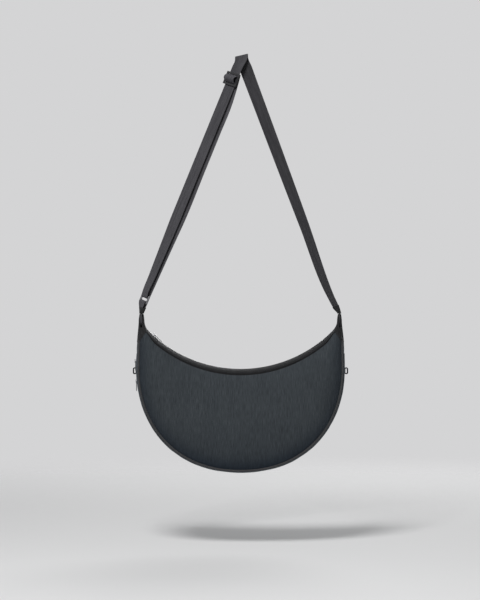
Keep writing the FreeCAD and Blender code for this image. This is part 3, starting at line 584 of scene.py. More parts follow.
# Front and back panels: a shell that bulges between its seams, with soft dents and puckers
PANEL_THICKNESS = 2.0
PANEL_COLUMNS = 150
PANEL_ROWS = 44
PANEL_SEED = 3.7
PILLOW_POWER = 2.3
DENT = 1.8
DENT_SIZE = 95
DENT_RATE = 4
DENT_END_RATE = 5
CREASE = 0.4
CREASE_SIZE = 42
CREASE_SEED = 5
PUCKER = 1.1
PUCKER_PITCH = 0.01
PUCKER_RATE = 22
PUCKER_EDGE_RATE = 60
SEAM_DITCH = 0.3
SEAM_ROLL = 1.2
BASE_ROLL = 0.6
ROLL_RATE = 70
PIPING_TUCK = 0.75
LINING_COLUMNS = 60
LINING_ROWS = 20
LINING_GAP = 0.4
LINING_THICKNESS = 0.6
LINING_INSET = PANEL_THICKNESS + LINING_GAP
LINING_INSETS = (LINING_INSET, LINING_INSET + LINING_THICKNESS)
LINING_MARGIN = 5.0


def panel_bulge(share, least=1.2, middle=12.0, flank=4.5, end=0.9):
    return least + middle * cos(90 * share) + flank * sin(180 * min(1.0, abs(share) / end)) ** 2


def near_seams(part, rate):
    """Nearness to the top seam and to the base seam, each from 1 down to 0."""
    return math.exp(-part * rate), math.exp(-(1 - part) * rate)


def panel_spot(share, part, side, inset, margin):
    """Point of a panel, from its top seam at part 0 to its base seam at 1."""
    top = top_point(share, TOP_CROWN * band_share(share))
    base = seam_point(share)
    along = unit(base - top)
    top = top + along * (SEAM_DITCH + margin)
    base = base - along * (PIPING_RADIUS * PIPING_TUCK + margin)
    spot = top + (base - top) * part
    middle = 1 - abs(2 * part - 1) ** PILLOW_POWER
    depth = top_depth(share) * (1 - part) + side_depth(share) * part + panel_bulge(share) * middle
    near_top, near_base = near_seams(part, ROLL_RATE)
    depth -= SEAM_ROLL * (near_top + BASE_ROLL * near_base)
    seed = PANEL_SEED * side
    window = min(1.0, DENT_RATE * part, DENT_RATE * (1 - part))
    window *= held(DENT_END_RATE * (1 - abs(share) / CAP_BASE))
    dent = rough(spot, DENT_SIZE, seed) + CREASE * rough(spot, CREASE_SIZE, seed + CREASE_SEED)
    near_top, near_base = near_seams(part, PUCKER_EDGE_RATE)
    strength = sum(near_seams(part, PUCKER_RATE)) * (1 - near_top) * (1 - near_base)
    pucker = strength * rough((share, 0, 0), PUCKER_PITCH, seed)
    return spot + ACROSS * side * (depth + DENT * window * dent + PUCKER * pucker - inset)


def panel_shade(grid, seam=0.45, reach=20, low=0.23, power=1.3, top=-680, height=105):
    """Painted shade: darker cloth along the side and bottom seams and low on the panel."""
    shade = []
    for row in grid:
        for spot in row:
            away = float(np.linalg.norm(row[-1] - spot))
            depth = held((top - spot[2]) / height)
            shade.append(seam * math.exp(-(away / reach) ** 2) + low * depth ** power)
    return shade


for word, side in SIDES:
    shares = spread(-PANEL_END, PANEL_END, PANEL_COLUMNS)
    outer, inner = layers(panel_spot, shares, PANEL_ROWS, side, (0.0, PANEL_THICKNESS), 0.0)
    # The shell's colour carries painted shade along its seams and low down.
    cover(f"{word}_shell", slab(outer, inner, marked(outer, 0, 2)), SHELL,
          "bag", "shell_fabric", f"{word}_panel", shade=panel_shade(outer) * 2)
    shares = spread(-LINING_END, LINING_END, LINING_COLUMNS)
    outer, inner = layers(panel_spot, shares, LINING_ROWS, side, LINING_INSETS, LINING_MARGIN)
    cover(f"{word}_lining_cloth", slab(outer, inner, marked(outer, 0, 2)), LINING,
          "bag", "lining_fabric", f"{word}_lining")


# Gusset: strips beside the gusset zip, end pieces up the horns, and piping in the seams
GUSSET_THICKNESS = 2.0
GUSSET_COLUMNS = 130
GUSSET_ROWS = 10
GUSSET_ZIP_LAP = 1.2
GUSSET_ZIP_DEPTH = TAPE_HALF_WIDTH - GUSSET_ZIP_LAP
GUSSET_WAVES = ((0.5, 30, 2.0), (0.25, 9, 1.0))
HORN_COLUMNS = 22
HORN_ROWS = 18
HORN_GAP_SHARE = 0.002
HORN_WAVES = ((0.4, 14, 1.0),)
PIPING_COLUMNS = 220
PIPING_SIDES = 12
PIPING_WAVES = ((0.12, 7, 1.0),)


def gusset_spot(share, part, side, inset):
    """Point of a gusset strip, from the piping at part 0 to the zip tape at 1."""
    out = outward(share)
    seam_depth = side_depth(share) - PIPING_RADIUS - GAP
    first = seam_point(share) + ACROSS * side * seam_depth
    middle = side_point(share, 0) + ACROSS * side * (seam_depth + GUSSET_ZIP_DEPTH) / 2
    last = OUTLINE_CENTRE + out * (GUSSET_ZIP_RADIUS + TAPE_THICKNESS) + ACROSS * side * GUSSET_ZIP_DEPTH
    spot = three_point(first, middle, last, part)
    return spot + out * (waves(spot, side, GUSSET_WAVES) * swell(part) - inset)


def horn_spot(share, part, hand, inset):
    """Point of a gusset end, from the front piping at part 0 to the back piping at 1."""
    seam = seam_point(share)
    reach = ACROSS * (side_depth(share) - PIPING_RADIUS - GAP)
    spot = three_point(seam - reach, side_point(share, 0), seam + reach, part)
    return spot + outward(share) * (waves(spot, hand, HORN_WAVES) * swell(part) - inset)


def piping_line(side):
    line = []
    for share in spread(-PANEL_END, PANEL_END, PIPING_COLUMNS):
        spot = seam_point(share) + ACROSS * side * side_depth(share)
        line.append(spot + outward(share) * waves(spot, side, PIPING_WAVES))
    return line


for word, side in SIDES:
    shares = spread(-GUSSET_SHARE, GUSSET_SHARE, GUSSET_COLUMNS)
    outer, inner = layers(gusset_spot, shares, GUSSET_ROWS, side, (0.0, GUSSET_THICKNESS))
    run = lengths([side_point(s, 0) for s in shares])
    marks = [[(p[1], length) for p in row] for row, length in zip(outer, run)]
    cover(f"gusset_{word}_cloth", slab(outer, inner, marks), GUSSET,
          "bag", "shell_fabric", f"gusset_{word}_strip")
    cover(f"{word}_piping_cord", tube(piping_line(side), PIPING_RADIUS, PIPING_SIDES), PIPING,
          "bag", "trim_fabric", f"{word}_piping")
for word, hand in HANDS:
    shares = [hand * s for s in spread(GUSSET_SHARE + HORN_GAP_SHARE, PANEL_END, HORN_COLUMNS)]
    outer, inner = layers(horn_spot, shares, HORN_ROWS, hand, (0.0, GUSSET_THICKNESS))
    cover(f"gusset_{word}_end_cloth", slab(outer, inner, marked(outer, 1, 2)), GUSSET,
          "bag", "shell_fabric", f"gusset_{word}_end")


# Zips: tapes, nylon coil in the gusset, and the fixed ends of the top zip
TAPE_ROWS = 4
GUSSET_TAPE_COLUMNS = 150
MAIN_TAPE_COLUMNS = 90
END_TAPE_COLUMNS = 14
END_GAP_ANGLE = 0.4
LOOP_PITCH = 1.4
LOOP_STEPS = 4
LOOP_SIDES = 10
LOOP_NEAR = 0.5
LOOP_FAR = -0.6
LOOP_THIN = 0.55
END_LOOP_NEAR = 1.5


def arc_spot(centre, radius, angle, depth):
    return centre + np.array((radius * sin(angle), depth, -radius * cos(angle)))


def tape(centre, radius, start, end, side, columns):
    """Zip tape beside one row of loops or teeth, along an arc."""
    depths = spread(side * ROW_OUTER, side * TAPE_HALF_WIDTH, TAPE_ROWS)
    angles = spread(start, end, columns)
    levels = []
    for level in (radius + TAPE_THICKNESS / 2, radius - TAPE_THICKNESS / 2):
        levels.append([[arc_spot(centre, level, a, d) for d in depths] for a in angles])
    return slab(*levels, [[(d, math.radians(a) * radius) for d in depths] for a in angles])


def coil(centre, radius, start, end, side, near=LOOP_NEAR, far=LOOP_FAR):
    """A row of rounded nylon loops, one swell for each loop."""
    count = int(math.radians(end - start) * radius / LOOP_PITCH) * LOOP_STEPS
    verts, marks = [], []
    for k, angle in enumerate(spread(start, end, count)):
        fullness = 0.5 + 0.5 * side * cos(360 * k / LOOP_STEPS)
        inner = near + (far - near) * fullness
        middle, half = (ROW_OUTER + inner) / 2, (ROW_OUTER - inner) / 2
        height = ROW_HALF_HEIGHT * (LOOP_THIN + (1 - LOOP_THIN) * fullness)
        for turn in spread(0, 360, LOOP_SIDES)[:-1]:
            depth = middle + half * cos(turn)
            verts.append(arc_spot(centre, radius + height * sin(turn), angle, side * depth))
            marks.append((depth, math.radians(angle) * radius))
    return verts, ring_faces(count + 1, LOOP_SIDES), marks


for word, side in SIDES:
    arc = (OUTLINE_CENTRE, GUSSET_ZIP_RADIUS, -GUSSET_HALF_ANGLE, GUSSET_HALF_ANGLE, side)
    cover(f"gusset_zip_{word}_weave", tape(*arc, GUSSET_TAPE_COLUMNS), TAPE,
          "bag", "zip_tape", f"gusset_zip_{word}_tape")
    cover(f"gusset_zip_{word}_loops", coil(*arc), TEETH,
          "bag", "zip_teeth", f"gusset_zip_{word}_coil")
    arc = (ZIP_CENTRE, ZIP_RADIUS, -LIP_ANGLE, LIP_ANGLE, side)
    cover(f"main_zip_{word}_weave", tape(*arc, MAIN_TAPE_COLUMNS), TAPE,
          f"{word}_lip", "zip_tape", f"main_zip_{word}_tape")
for word, hand in HANDS:
    start, end = hand * (LIP_ANGLE + END_GAP_ANGLE), hand * ZIP_END_ANGLE
    low, high = sorted((start, end))
    tapes, rows = [], []
    for _, side in SIDES:
        tapes.append(tape(ZIP_CENTRE, ZIP_RADIUS, start, end, side, END_TAPE_COLUMNS))
        rows.append(coil(ZIP_CENTRE, ZIP_RADIUS, low, high, side, END_LOOP_NEAR, ROW_INNER))
    cover(f"main_zip_{word}_end_weave", merged(tapes), TAPE, "bag", "zip_tape", f"main_zip_{word}_end")
    cover(f"main_zip_{word}_end_loops", merged(rows), TEETH, "bag", "zip_teeth")


# Top facing: cloth between the panel seam and the zip tape
FACING_HALF = 0.8
FACING_LEVELS = (FACING_HALF, -FACING_HALF)
FACING_KNEE = 20.0
FACING_KNEE_DROP = 1.8
FACING_ZIP_LAP = 0.9
FACING_NEAR = TAPE_HALF_WIDTH - FACING_ZIP_LAP
FACING_WAVES = ((0.35, 16, 4.0),)
FACING_COLUMNS = 110
FACING_ROWS = 25
FACING_END_COLUMNS = 30
ZIP_LIFT = 0.5
BRIDGE_CELLS = 8
BRIDGE_GAP_SHARE = 0.004
STITCH_PARTS = (0.36, 0.92)
STITCH_UPWARD = 0.8
UNDERLAP = 0.014
UNDERLAP_DROP = 1.3


def curve_spot(points, part):
    """Point of a smooth line through points, and the direction of the span it lies in."""
    end = len(points) - 1
    k = min(int(part * end), end - 1)
    t = part * end - k
    around = [np.array(points[min(max(i, 0), end)]) for i in range(k - 1, k + 3)]
    before, first, last, after = around
    spot = 0.5 * (2 * first + (last - before) * t + (2 * before - 5 * first + 4 * last - after) * t ** 2
                  + (3 * first - before - 3 * last + after) * t ** 3)
    return spot, unit(last - first)


def facing_profile(share, part, lift, tuck=3.4, tuck_drop=4.0, seam_drop=0.6, inset=0.4, roll=1.6,
                   seam_slope=0.5, zip_slope=0.3):
    """Depth and drop below the zip edge, from the seam at 0 to the tape at 1."""
    depth, height = top_depth(share), band_share(share)
    edge = depth - inset
    seam = TOP_CROWN * height + seam_drop
    knee, drop = FACING_KNEE * depth / TOP_DEPTH, FACING_KNEE_DROP * height
    points = [(depth - tuck, seam + tuck_drop), (edge, seam - roll * height), (edge, seam * seam_slope),
              (knee, drop), ((knee + FACING_NEAR) / 2, drop * zip_slope), (FACING_NEAR, -ZIP_LIFT)]
    spot, ahead = curve_spot(points, part)
    return spot + np.array((-ahead[1], ahead[0])) * lift


def facing_spot(share, part, side, lift, fixed):
    """Point of the facing; an end one (fixed) goes down under the end of the middle one."""
    under = UNDERLAP_DROP * held((LIP_SHARE + UNDERLAP - abs(share)) / UNDERLAP) if fixed else 0.0
    depth, drop = facing_profile(share, part, lift)
    spot = top_point(share, drop + under)
    depth -= under * (1 - part) ** 2
    soft = math.sin(math.pi * part) * waves(spot, side, FACING_WAVES)
    return spot + np.array((0, side * depth, soft))


def facing_piece(shares, side, fixed):
    outer, inner = layers(facing_spot, shares, FACING_ROWS, side, FACING_LEVELS, fixed)
    run = lengths([row[0] for row in outer])
    marks = [[(s, length) for s in lengths(row)] for row, length in zip(outer, run)]
    return slab(outer, inner, marks), outer


def facing_stitches(outer, side):
    groups = []
    outside = np.array((0, side, STITCH_UPWARD))
    for part in STITCH_PARTS:
        k = round(part * (len(outer[0]) - 1))
        normals = []
        for i, row in enumerate(outer):
            ahead = outer[min(i + 1, len(outer) - 1)][k] - outer[max(i - 1, 0)][k]
            beside = row[min(k + 1, len(row) - 1)] - row[max(k - 1, 0)]
            normal = unit(np.cross(ahead, beside))
            normals.append(normal if np.dot(normal, outside) > 0 else -normal)
        groups.append(stitch_row([row[k] for row in outer], normals))
    return merged(groups)


def bridge(hand):
    """Facing that joins front to back beyond the end of the zip."""
    depths = spread(-FACING_NEAR, FACING_NEAR, BRIDGE_CELLS)
    shares = [hand * s for s in spread(ZIP_END_SHARE + BRIDGE_GAP_SHARE, FACING_END, BRIDGE_CELLS)]
    levels = []
    for lift in FACING_LEVELS:
        levels.append([[top_point(s, -ZIP_LIFT - lift) + ACROSS * d for d in depths] for s in shares])
    return slab(*levels, marked(levels[0], 1, 2))


for word, side in SIDES:
    form, outer = facing_piece(spread(-LIP_SHARE, LIP_SHARE, FACING_COLUMNS), side, False)
    cloth = finish_mesh(f"{word}_facing_cloth", *form, BAND)
    threads = finish_mesh(f"{word}_facing_stitches", *facing_stitches(outer, side), THREAD)
    for piece in (cloth, threads):
        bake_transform(piece)
    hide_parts(f"{word}_facing")
for word, hand in HANDS:
    shares = [hand * s for s in spread(LIP_SHARE - UNDERLAP, FACING_END, FACING_END_COLUMNS)]
    groups, threads = [], []
    for _, side in SIDES:
        form, outer = facing_piece(shares, side, True)
        groups.append(form)
        threads.append(facing_stitches(outer, side))
    groups.append(bridge(hand))
    cover(f"{word}_top_facing_cloth", merged(groups), BAND,
          "bag", "trim_fabric", f"{word}_top_facing")
    cover(f"{word}_top_facing_stitches", merged(threads), THREAD, "bag", "trim_fabric")


# Horn caps: cloth drawn in from the horn's own section to the strap end, with folds that run to it
LAP = np.array((188.0, 0.0, -503.04))
WEB_WIDTH = 25.0
WEB_THICKNESS = 1.8
LAP_LAYERS = {"left": 2, "right": 1}
CHEEK = WEB_WIDTH / 2 + GAP
CHEEK_WALL = 3.3
CHEEK_TIP_WALL = 1.9
CHEEK_POWER = 1.3
SLOT_EASE = 0.06
CAP_HEM = ((0.774, -0.7), (0.7718, 0.2), (0.773, 0.55), (0.779, 0.5), (CAP_BASE, 0.4))
HEM_STITCH_RING = 3
CAP_POINTS = 240
CAP_STEPS = 30
FACING_PARTS = spread(1.0, 0.45, 6)
PANEL_PARTS = spread(0.1, 0.9, 10)
FLANK_PARTS = spread(0.06, 0.94, 10)
NECK_POINTS = 96
NECK_DEPTH = 12.8
NECK_POWER = 3.4
NECK_PARTS = (0.1, 0.2, 0.3, 0.4, 0.5, 0.6, 0.7, 0.78, 0.85, 0.9, 0.94, 0.965, 0.985)
HORN_PULL = 24.0
NECK_PULL = 20.0
FOLD_COUNT = 21
FOLD_DEPTH = 1.35
FOLD_SPREAD = 0.013
FOLD_FIRST_RING = 3
FOLD_FULL_RINGS = 8
TINY = 1e-9


def evenly(points, count):
    """Points spaced evenly round a closed line."""
    closed = list(points) + [points[0]]
    run = lengths(closed)
    spots = np.array(closed)
    places = [run[-1] * k / count for k in range(count)]
    return np.stack([np.interp(places, run, spots[:, axis]) for axis in range(3)], axis=1)


def horn_section(share, lift):
    """The horn's outside at a share, from the middle of its top edge round by the front."""
    halves = []
    for _, side in SIDES:
        half = []
        for part in FACING_PARTS:
            depth, drop = facing_profile(share, part, FACING_HALF)
            half.append(top_point(share, drop) + ACROSS * side * depth)
        halves.append(half + [panel_spot(share, part, side, 0.0, 0.0) for part in PANEL_PARTS])
    seam, edge = seam_point(share), side_point(share, 0)
    reach = ACROSS * (side_depth(share) - PIPING_RADIUS)
    flank = [three_point(seam - reach, edge, seam + reach, part) for part in FLANK_PARTS]
    loop = [top_point(share, -ZIP_LIFT - FACING_HALF)] + halves[0] + flank + halves[1][::-1]
    middle = np.mean(loop, axis=0)
    return [p + unit(p - middle) * lift for p in loop]


def neck_section(hand, rise, wide, deep):
    loop = []
    for turn in spread(0, 360, NECK_POINTS)[:-1]:
        x, y = squared_round(turn, NECK_POWER)
        loop.append(np.array((hand * (LAP[0] - x * wide), -y * deep, LAP[2] + rise)))
    return loop


def cap_rings(hand, slot_half):
    """Rings of points from the hem up the horn to the tip of the cheeks."""
    rings = [evenly(horn_section(hand * share, lift), CAP_POINTS) for share, lift in CAP_HEM]
    low, before = rings[-1], rings[-2]
    into = (low - before) / np.linalg.norm(np.mean(low - before, axis=0)) * HORN_PULL
    high = evenly(neck_section(hand, 0, slot_half + CHEEK_WALL, NECK_DEPTH), CAP_POINTS)
    out = np.array((0, 0, NECK_PULL))
    rings += [hermite(low, into, high, out, t) for t in spread(0, 1, CAP_STEPS)[1:]]
    for part in NECK_PARTS:
        wall = CHEEK_WALL + (CHEEK_TIP_WALL - CHEEK_WALL) * part ** CHEEK_POWER
        deep = NECK_DEPTH * math.sqrt(1 - part ** 2)
        rings.append(evenly(neck_section(hand, CHEEK * part, slot_half + wall, deep), CAP_POINTS))
    return np.array(rings)


def ring_normals(rings):
    """Outward directions at the points of a stack of rings."""
    ahead = np.roll(rings, -1, axis=1) - np.roll(rings, 1, axis=1)
    normals = np.cross(ahead, np.gradient(rings, axis=0))
    normals /= np.maximum(np.linalg.norm(normals, axis=2, keepdims=True), TINY)
    inside_out = np.sum(normals * (rings - rings.mean(axis=1, keepdims=True))) < 0
    return -normals if inside_out else normals


def fold_push(hand, ring, count, fade=0.6, scatters=0.55, wanders=0.006, mean=0.6, varies=0.8,
              least=0.2, fill=0.3):
    """How far each point of a ring goes in at the folds, which noise scatters and makes uneven."""
    rise = ring / count
    reach = held((ring - FOLD_FIRST_RING) / FOLD_FULL_RINGS) * (1 - fade * rise)
    push = np.zeros(CAP_POINTS)
    places = np.arange(CAP_POINTS) / CAP_POINTS
    for k in range(FOLD_COUNT):
        scatter = scatters * rough((k * 31.7, 0, 5.0), 11, hand)
        wander = wanders * rough((k * 17.3, rise * 30, 0), 9, hand)
        strength = mean + varies * rough((k * 7.9, 3.0, 0), 5, hand)
        centre = (k + 0.5 + scatter) / FOLD_COUNT + wander
        away = (places - centre + 0.5) % 1 - 0.5
        push -= FOLD_DEPTH * max(least, strength) * np.exp(-(away / FOLD_SPREAD) ** 2)
    return reach * (push + fill * FOLD_DEPTH)


def cut_slot(piece, hand, slot_half):
    """Opens the slot in which the strap end swings."""
    mesh = simple_mesh("slot", bmesh.ops.create_cube, size=1.0)
    tool = linked("slot", mesh)
    floor_drop = WEB_WIDTH / 2 + SLOT_EASE
    tool.scale = (2 * slot_half * MM, 4 * CHEEK * MM, 4 * CHEEK * MM)
    tool.location = (hand * LAP[0] * MM, 0, (LAP[2] + 2 * CHEEK - floor_drop) * MM)
    cut = piece.modifiers.new("cut", "BOOLEAN")
    cut.operation = "DIFFERENCE"
    cut.solver = "EXACT"
    cut.object = tool
    graph = bpy.context.evaluated_depsgraph_get()
    made = bpy.data.meshes.new_from_object(piece.evaluated_get(graph))
    piece.modifiers.clear()
    piece.data = made
    bpy.data.objects.remove(tool)
    bpy.data.meshes.remove(mesh)


def mark_upright(mesh):
    """Cloth coordinates across and up, for a mesh whose points a cut has changed."""
    layer = mesh.uv_layers["cloth"]
    for loop in mesh.loops:
        spot = mesh.vertices[loop.vertex_index].co
        layer.data[loop.index].uv = (spot.x + spot.y, spot.z)


for word, hand in HANDS:
    slot_half = LAP_LAYERS[word] * WEB_THICKNESS / 2 + SLOT_EASE
    rings = cap_rings(hand, slot_half)
    normals = ring_normals(rings)
    for k in range(len(rings)):
        rings[k] += normals[k] * fold_push(hand, k, len(rings))[:, None]
    verts = rings.reshape(-1, 3)
    faces = ring_faces(len(rings), CAP_POINTS)
    piece = finish_mesh(f"{word}_horn_cap_cloth", verts, faces, [(0, 0)] * len(verts), CAP)
    cut_slot(piece, hand, slot_half)
    mark_upright(piece.data)
    placed(piece, "bag", "trim_fabric", f"{word}_horn_cap")
    threads = stitch_row(list(rings[HEM_STITCH_RING]), list(normals[HEM_STITCH_RING]), sunk=0.0)
    cover(f"{word}_horn_cap_stitches", threads, THREAD, "bag", "trim_fabric")


# Webbing: ribbons along frames of centre, width and face
EDGE_SHARES = (0.0, 0.02, 0.08, 0.2, 0.35, 0.5, 0.65, 0.8, 0.92, 0.98, 1.0)
EDGE_SWELLS = (0.3, 0.75, 1.0, 0.96, 0.92, 0.9, 0.92, 0.96, 1.0, 0.75, 0.3)
RIPPLE = 0.06
RIPPLE_LENGTH = 23.0
RIPPLE_LEAN = 3
RIPPLE_NOISE_SIZE = 37
RIPPLE_NOISE_WIDTH = 40
STRAP_STEP = 4.0
TAB_STEP = 2.0
CROSSOVER_STEP = 1.0
COLLAR_STEP = 0.8


def through(keys, step):
    """Smooth frames along key frames, about one for each step of length."""
    rows = np.array([np.concatenate(key) for key in keys])
    moves = np.diff(rows, axis=0)
    gaps = np.linalg.norm(moves[:, :3], axis=1)
    rates = moves / gaps[:, None]
    slopes = [rates[0]]
    for k in range(1, len(gaps)):
        mixed = rates[k] * gaps[k - 1] + rates[k - 1] * gaps[k]
        slopes.append(mixed / (gaps[k - 1] + gaps[k]))
    slopes.append(rates[-1])
    found = []
    for k, gap in enumerate(gaps):
        for t in spread(0, 1, max(2, int(gap / step)))[:-1]:
            found.append(hermite(rows[k], slopes[k] * gap, rows[k + 1], slopes[k + 1] * gap, t))
    found.append(rows[-1])
    return [(row[:3], row[3:6], row[6:9]) for row in found]


def ribbon(frames, ripple=0.0, width=WEB_WIDTH, thickness=WEB_THICKNESS, closed=False):
    """Webbing with rounded edges; closed joins its ends."""
    run = lengths([centre for centre, _, _ in frames])
    outer, inner, marks = [], [], []
    for (centre, across, face), length in zip(frames, run):
        face = unit(face - across * float(np.dot(face, across)) / float(np.dot(across, across)))
        rows = ([], [], [])
        for share, fullness in zip(EDGE_SHARES, EDGE_SWELLS):
            wave = ripple * math.sin(length / RIPPLE_LENGTH + RIPPLE_LEAN * share)
            wave *= rough((length, share * RIPPLE_NOISE_WIDTH, 0), RIPPLE_NOISE_SIZE)
            spot = centre + across * ((share - 0.5) * width) + face * wave
            rows[0].append(spot + face * (thickness / 2 * fullness))
            rows[1].append(spot - face * (thickness / 2 * fullness))
            rows[2].append((share * width, length))
        outer.append(rows[0])
        inner.append(rows[1])
        marks.append(rows[2])
    return slab(outer, inner, marks, closed)


def turned_frame(down, angle):
    """Width and face of webbing that runs down and is turned from facing forward."""
    level = unit(np.cross(FORWARD, down))
    level = level if level[0] > 0 else -level
    return level * cos(angle) + FORWARD * sin(angle), FORWARD * cos(angle) - level * sin(angle)


# Strap: from the right horn up to the fold, down the left run and round the upper bar of the ring
APEX = np.array((2.0, 0.0, -2.0))
FOLD = 2.0 + WEB_THICKNESS / 2
FOLD_TILT = 10.5
FOLD_TURN = 22.0
FOLD_STEPS = 12
BAR = np.array((-180.0, 0.0, -456.04))
BAR_STEPS = 8
RING_TURN_ANGLE = 62.0
RING_WIRE = 4.0
RING_SPACING = 12.5
RUN_TURN_ANGLE = 40.0
RUN_STATIONS = (24.0, 42.0, 60.0, 80.0, 120.0, 225.0, 290.0, 318.0)
TWIST_START = 330.0
TWIST_STEPS = 4
KNEE = np.array((172.0, 0.0, -458.04))
BEND = np.array((182.0, 0.0, -478.04))
BEND_TURN_ANGLE = 71.0
RIGHT_TURNS = ((0.05, 18), (0.4, 34), (0.7, 46), (1.0, 64))
# Painted shade on the webbing: right run at the lap, right run at the fold, left run at the fold, left run
# at the ring.
STRAP_SHADES = (0.385, 0.49, 0.26, 0.0)
SHADE_CHANGE = 5
LEFT_TOP = APEX + FORWARD * FOLD
RIGHT_TOP = APEX + ACROSS * FOLD
LAP_TOP = LAP + np.array((0, 0, CHEEK + GAP))
RING_WIDTH, RING_FACE = turned_frame(unit(BAR - LEFT_TOP), RING_TURN_ANGLE)
RING_DOWN = unit(np.cross(RING_WIDTH, RING_FACE))
RING_DOWN = RING_DOWN if RING_DOWN[2] < 0 else -RING_DOWN
TURN = RING_WIRE / 2 + GAP + WEB_THICKNESS / 2
LEFT_END = BAR + RING_FACE * TURN
LEFT_LENGTH = float(np.linalg.norm(LEFT_END - LEFT_TOP))
LEFT_DOWN = (LEFT_END - LEFT_TOP) / LEFT_LENGTH
LEFT_LEAN = math.degrees(math.atan2(-LEFT_DOWN[0], -LEFT_DOWN[2]))
RIGHT_LEAN = math.degrees(math.atan2(KNEE[0] - RIGHT_TOP[0], RIGHT_TOP[2] - KNEE[2]))
TWIST_STATIONS = spread(TWIST_START, LEFT_LENGTH, TWIST_STEPS)[:-1]
END_TURNS = spread(88, 11, 9)
END_ROUND = [(np.array((0, 0, WEB_WIDTH / 2 * sin(turn))), cos(turn)) for turn in END_TURNS]


def twist(station):
    """How far the left run has turned towards the ring, from 0 to 1."""
    return max(0.0, station - TWIST_START) / (LEFT_LENGTH - TWIST_START)


def left_frame(station, offset=0.0, shift=0.0):
    turn = RUN_TURN_ANGLE + (RING_TURN_ANGLE - RUN_TURN_ANGLE) * twist(station)
    width, face = turned_frame(LEFT_DOWN, turn)
    return LEFT_TOP + LEFT_DOWN * station - face * offset + width * shift, width, face


def right_keys():
    """Key frames from the lap in the right horn up to the fold."""
    width, face = turned_frame(LAP_TOP - KNEE, BEND_TURN_ANGLE)
    keys = [(LAP, FORWARD, RIGHT), (LAP_TOP, FORWARD, RIGHT), (BEND, width, -face)]
    for share, angle in reversed(RIGHT_TURNS):
        width, face = turned_frame(KNEE - RIGHT_TOP, angle)
        keys.append((RIGHT_TOP + (KNEE - RIGHT_TOP) * share, width, -face))
    return keys


def strap_keys():
    keys = [(LAP - down, FORWARD * narrow, RIGHT) for down, narrow in END_ROUND] + right_keys()
    tilt = np.array((cos(FOLD_TILT) * cos(FOLD_TURN), -sin(FOLD_TURN), sin(FOLD_TILT) * cos(FOLD_TURN)))
    for angle in spread(0, 180, FOLD_STEPS):
        face = np.array((0, cos(angle), sin(angle)))
        lean = RIGHT_LEAN if angle < 90 else LEFT_LEAN
        keys.append((APEX + face * FOLD, tilt / cos(lean), face))
    keys += [left_frame(station) for station in (*RUN_STATIONS, *TWIST_STATIONS)]
    for angle in spread(0, 180, BAR_STEPS):
        face = RING_FACE * cos(angle) + RING_DOWN * sin(angle)
        keys.append((BAR + face * TURN, RING_WIDTH, face))
    return keys


def strap_shade(frames):
    """Painted shade: darker webbing on the right run, up to the fold, than on the left one."""
    run = lengths([centre for centre, _, _ in frames])
    top = run[int(np.argmax([centre[2] for centre, _, _ in frames]))]
    places = (0, top - SHADE_CHANGE, top + SHADE_CHANGE, run[-1])
    return np.repeat(np.interp(run, places, STRAP_SHADES), len(EDGE_SHARES)).tolist() * 2


frames = through(strap_keys(), STRAP_STEP)
# The strap's colour carries painted shade, darkest on the right run.
cover("strap_band", ribbon(frames, RIPPLE), WEBBING,
      "strap", "webbing", "strap_left_run", "strap_right_run", "strap_ring_turn",
      shade=strap_shade(frames))


# Return strand: from the ring up behind the left run to the adjuster
ADJUSTER_STATION = 46.0
ADJUSTER_LENGTH = 25.0
RETURN_GAP = 6.5
RETURN_SHIFT = 5.5
RETURN_STATIONS = (225.0, 150.0, 95.0)
RETURN_TOP_GAP = 3.4
RETURN_LOW_GAP = RETURN_TOP_GAP + 1.0
RETURN_LOW_SHIFT = RETURN_SHIFT * 0.6
keys = [(BAR - RING_FACE * TURN, RING_WIDTH, RING_FACE)]
for station in reversed(TWIST_STATIONS):
    part = twist(station)
    gap = RETURN_GAP + (2 * TURN - RETURN_GAP) * part
    keys.append(left_frame(station, gap, RETURN_SHIFT * (1 - part)))
keys += [left_frame(station, RETURN_GAP, RETURN_SHIFT) for station in RETURN_STATIONS]
keys.append(left_frame(ADJUSTER_STATION + ADJUSTER_LENGTH / 2, RETURN_LOW_GAP, RETURN_LOW_SHIFT))
keys.append(left_frame(ADJUSTER_STATION - ADJUSTER_LENGTH / 2, RETURN_TOP_GAP))
form = ribbon(through(keys, STRAP_STEP), RIPPLE)
piece = finish_mesh("strap_return_band", *form, WEBBING)
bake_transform(piece)
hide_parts("strap_return_run")


# Ring tab: one piece of webbing up from the left horn, over the lower bar and back
LEFT_LAP = LAP * np.array((-1, 1, 1))
LOW_BAR = BAR + RING_DOWN * RING_SPACING
TAB_GAP = 0.02
TAB_STEP_OUT = WEB_THICKNESS / 2 + TAB_GAP
TAB_OPEN = 2.5
TAB_WIDTH = unit(FORWARD + RING_WIDTH * 0.7)
TAB_HIGH = LEFT_LAP + np.array((0, 0, CHEEK + GAP))
TAB_MIDDLE = TAB_HIGH + (LOW_BAR - TAB_HIGH) * 0.36
TAB_TURNS = spread(-20, 200, 10)


def tab_layer(face):
    """Key frames of one layer of the tab, from its rounded end up to its middle."""
    step = face * TAB_STEP_OUT
    keys = [(LEFT_LAP - down + step, FORWARD * narrow, face) for down, narrow in END_ROUND]
    keys += [(LEFT_LAP + step, FORWARD, face), (TAB_HIGH + step, FORWARD, face)]
    keys.append((TAB_MIDDLE + face * TAB_OPEN, TAB_WIDTH, face))
    return keys


keys = tab_layer(LEFT)
for angle in TAB_TURNS:
    face = RING_FACE * cos(angle) - RING_DOWN * sin(angle)
    keys.append((LOW_BAR + face * TURN, RING_WIDTH, face))
keys += reversed(tab_layer(RIGHT))
cover("ring_tab_band", ribbon(through(keys, TAB_STEP)), WEBBING,
      "strap", "webbing", "ring_tab")


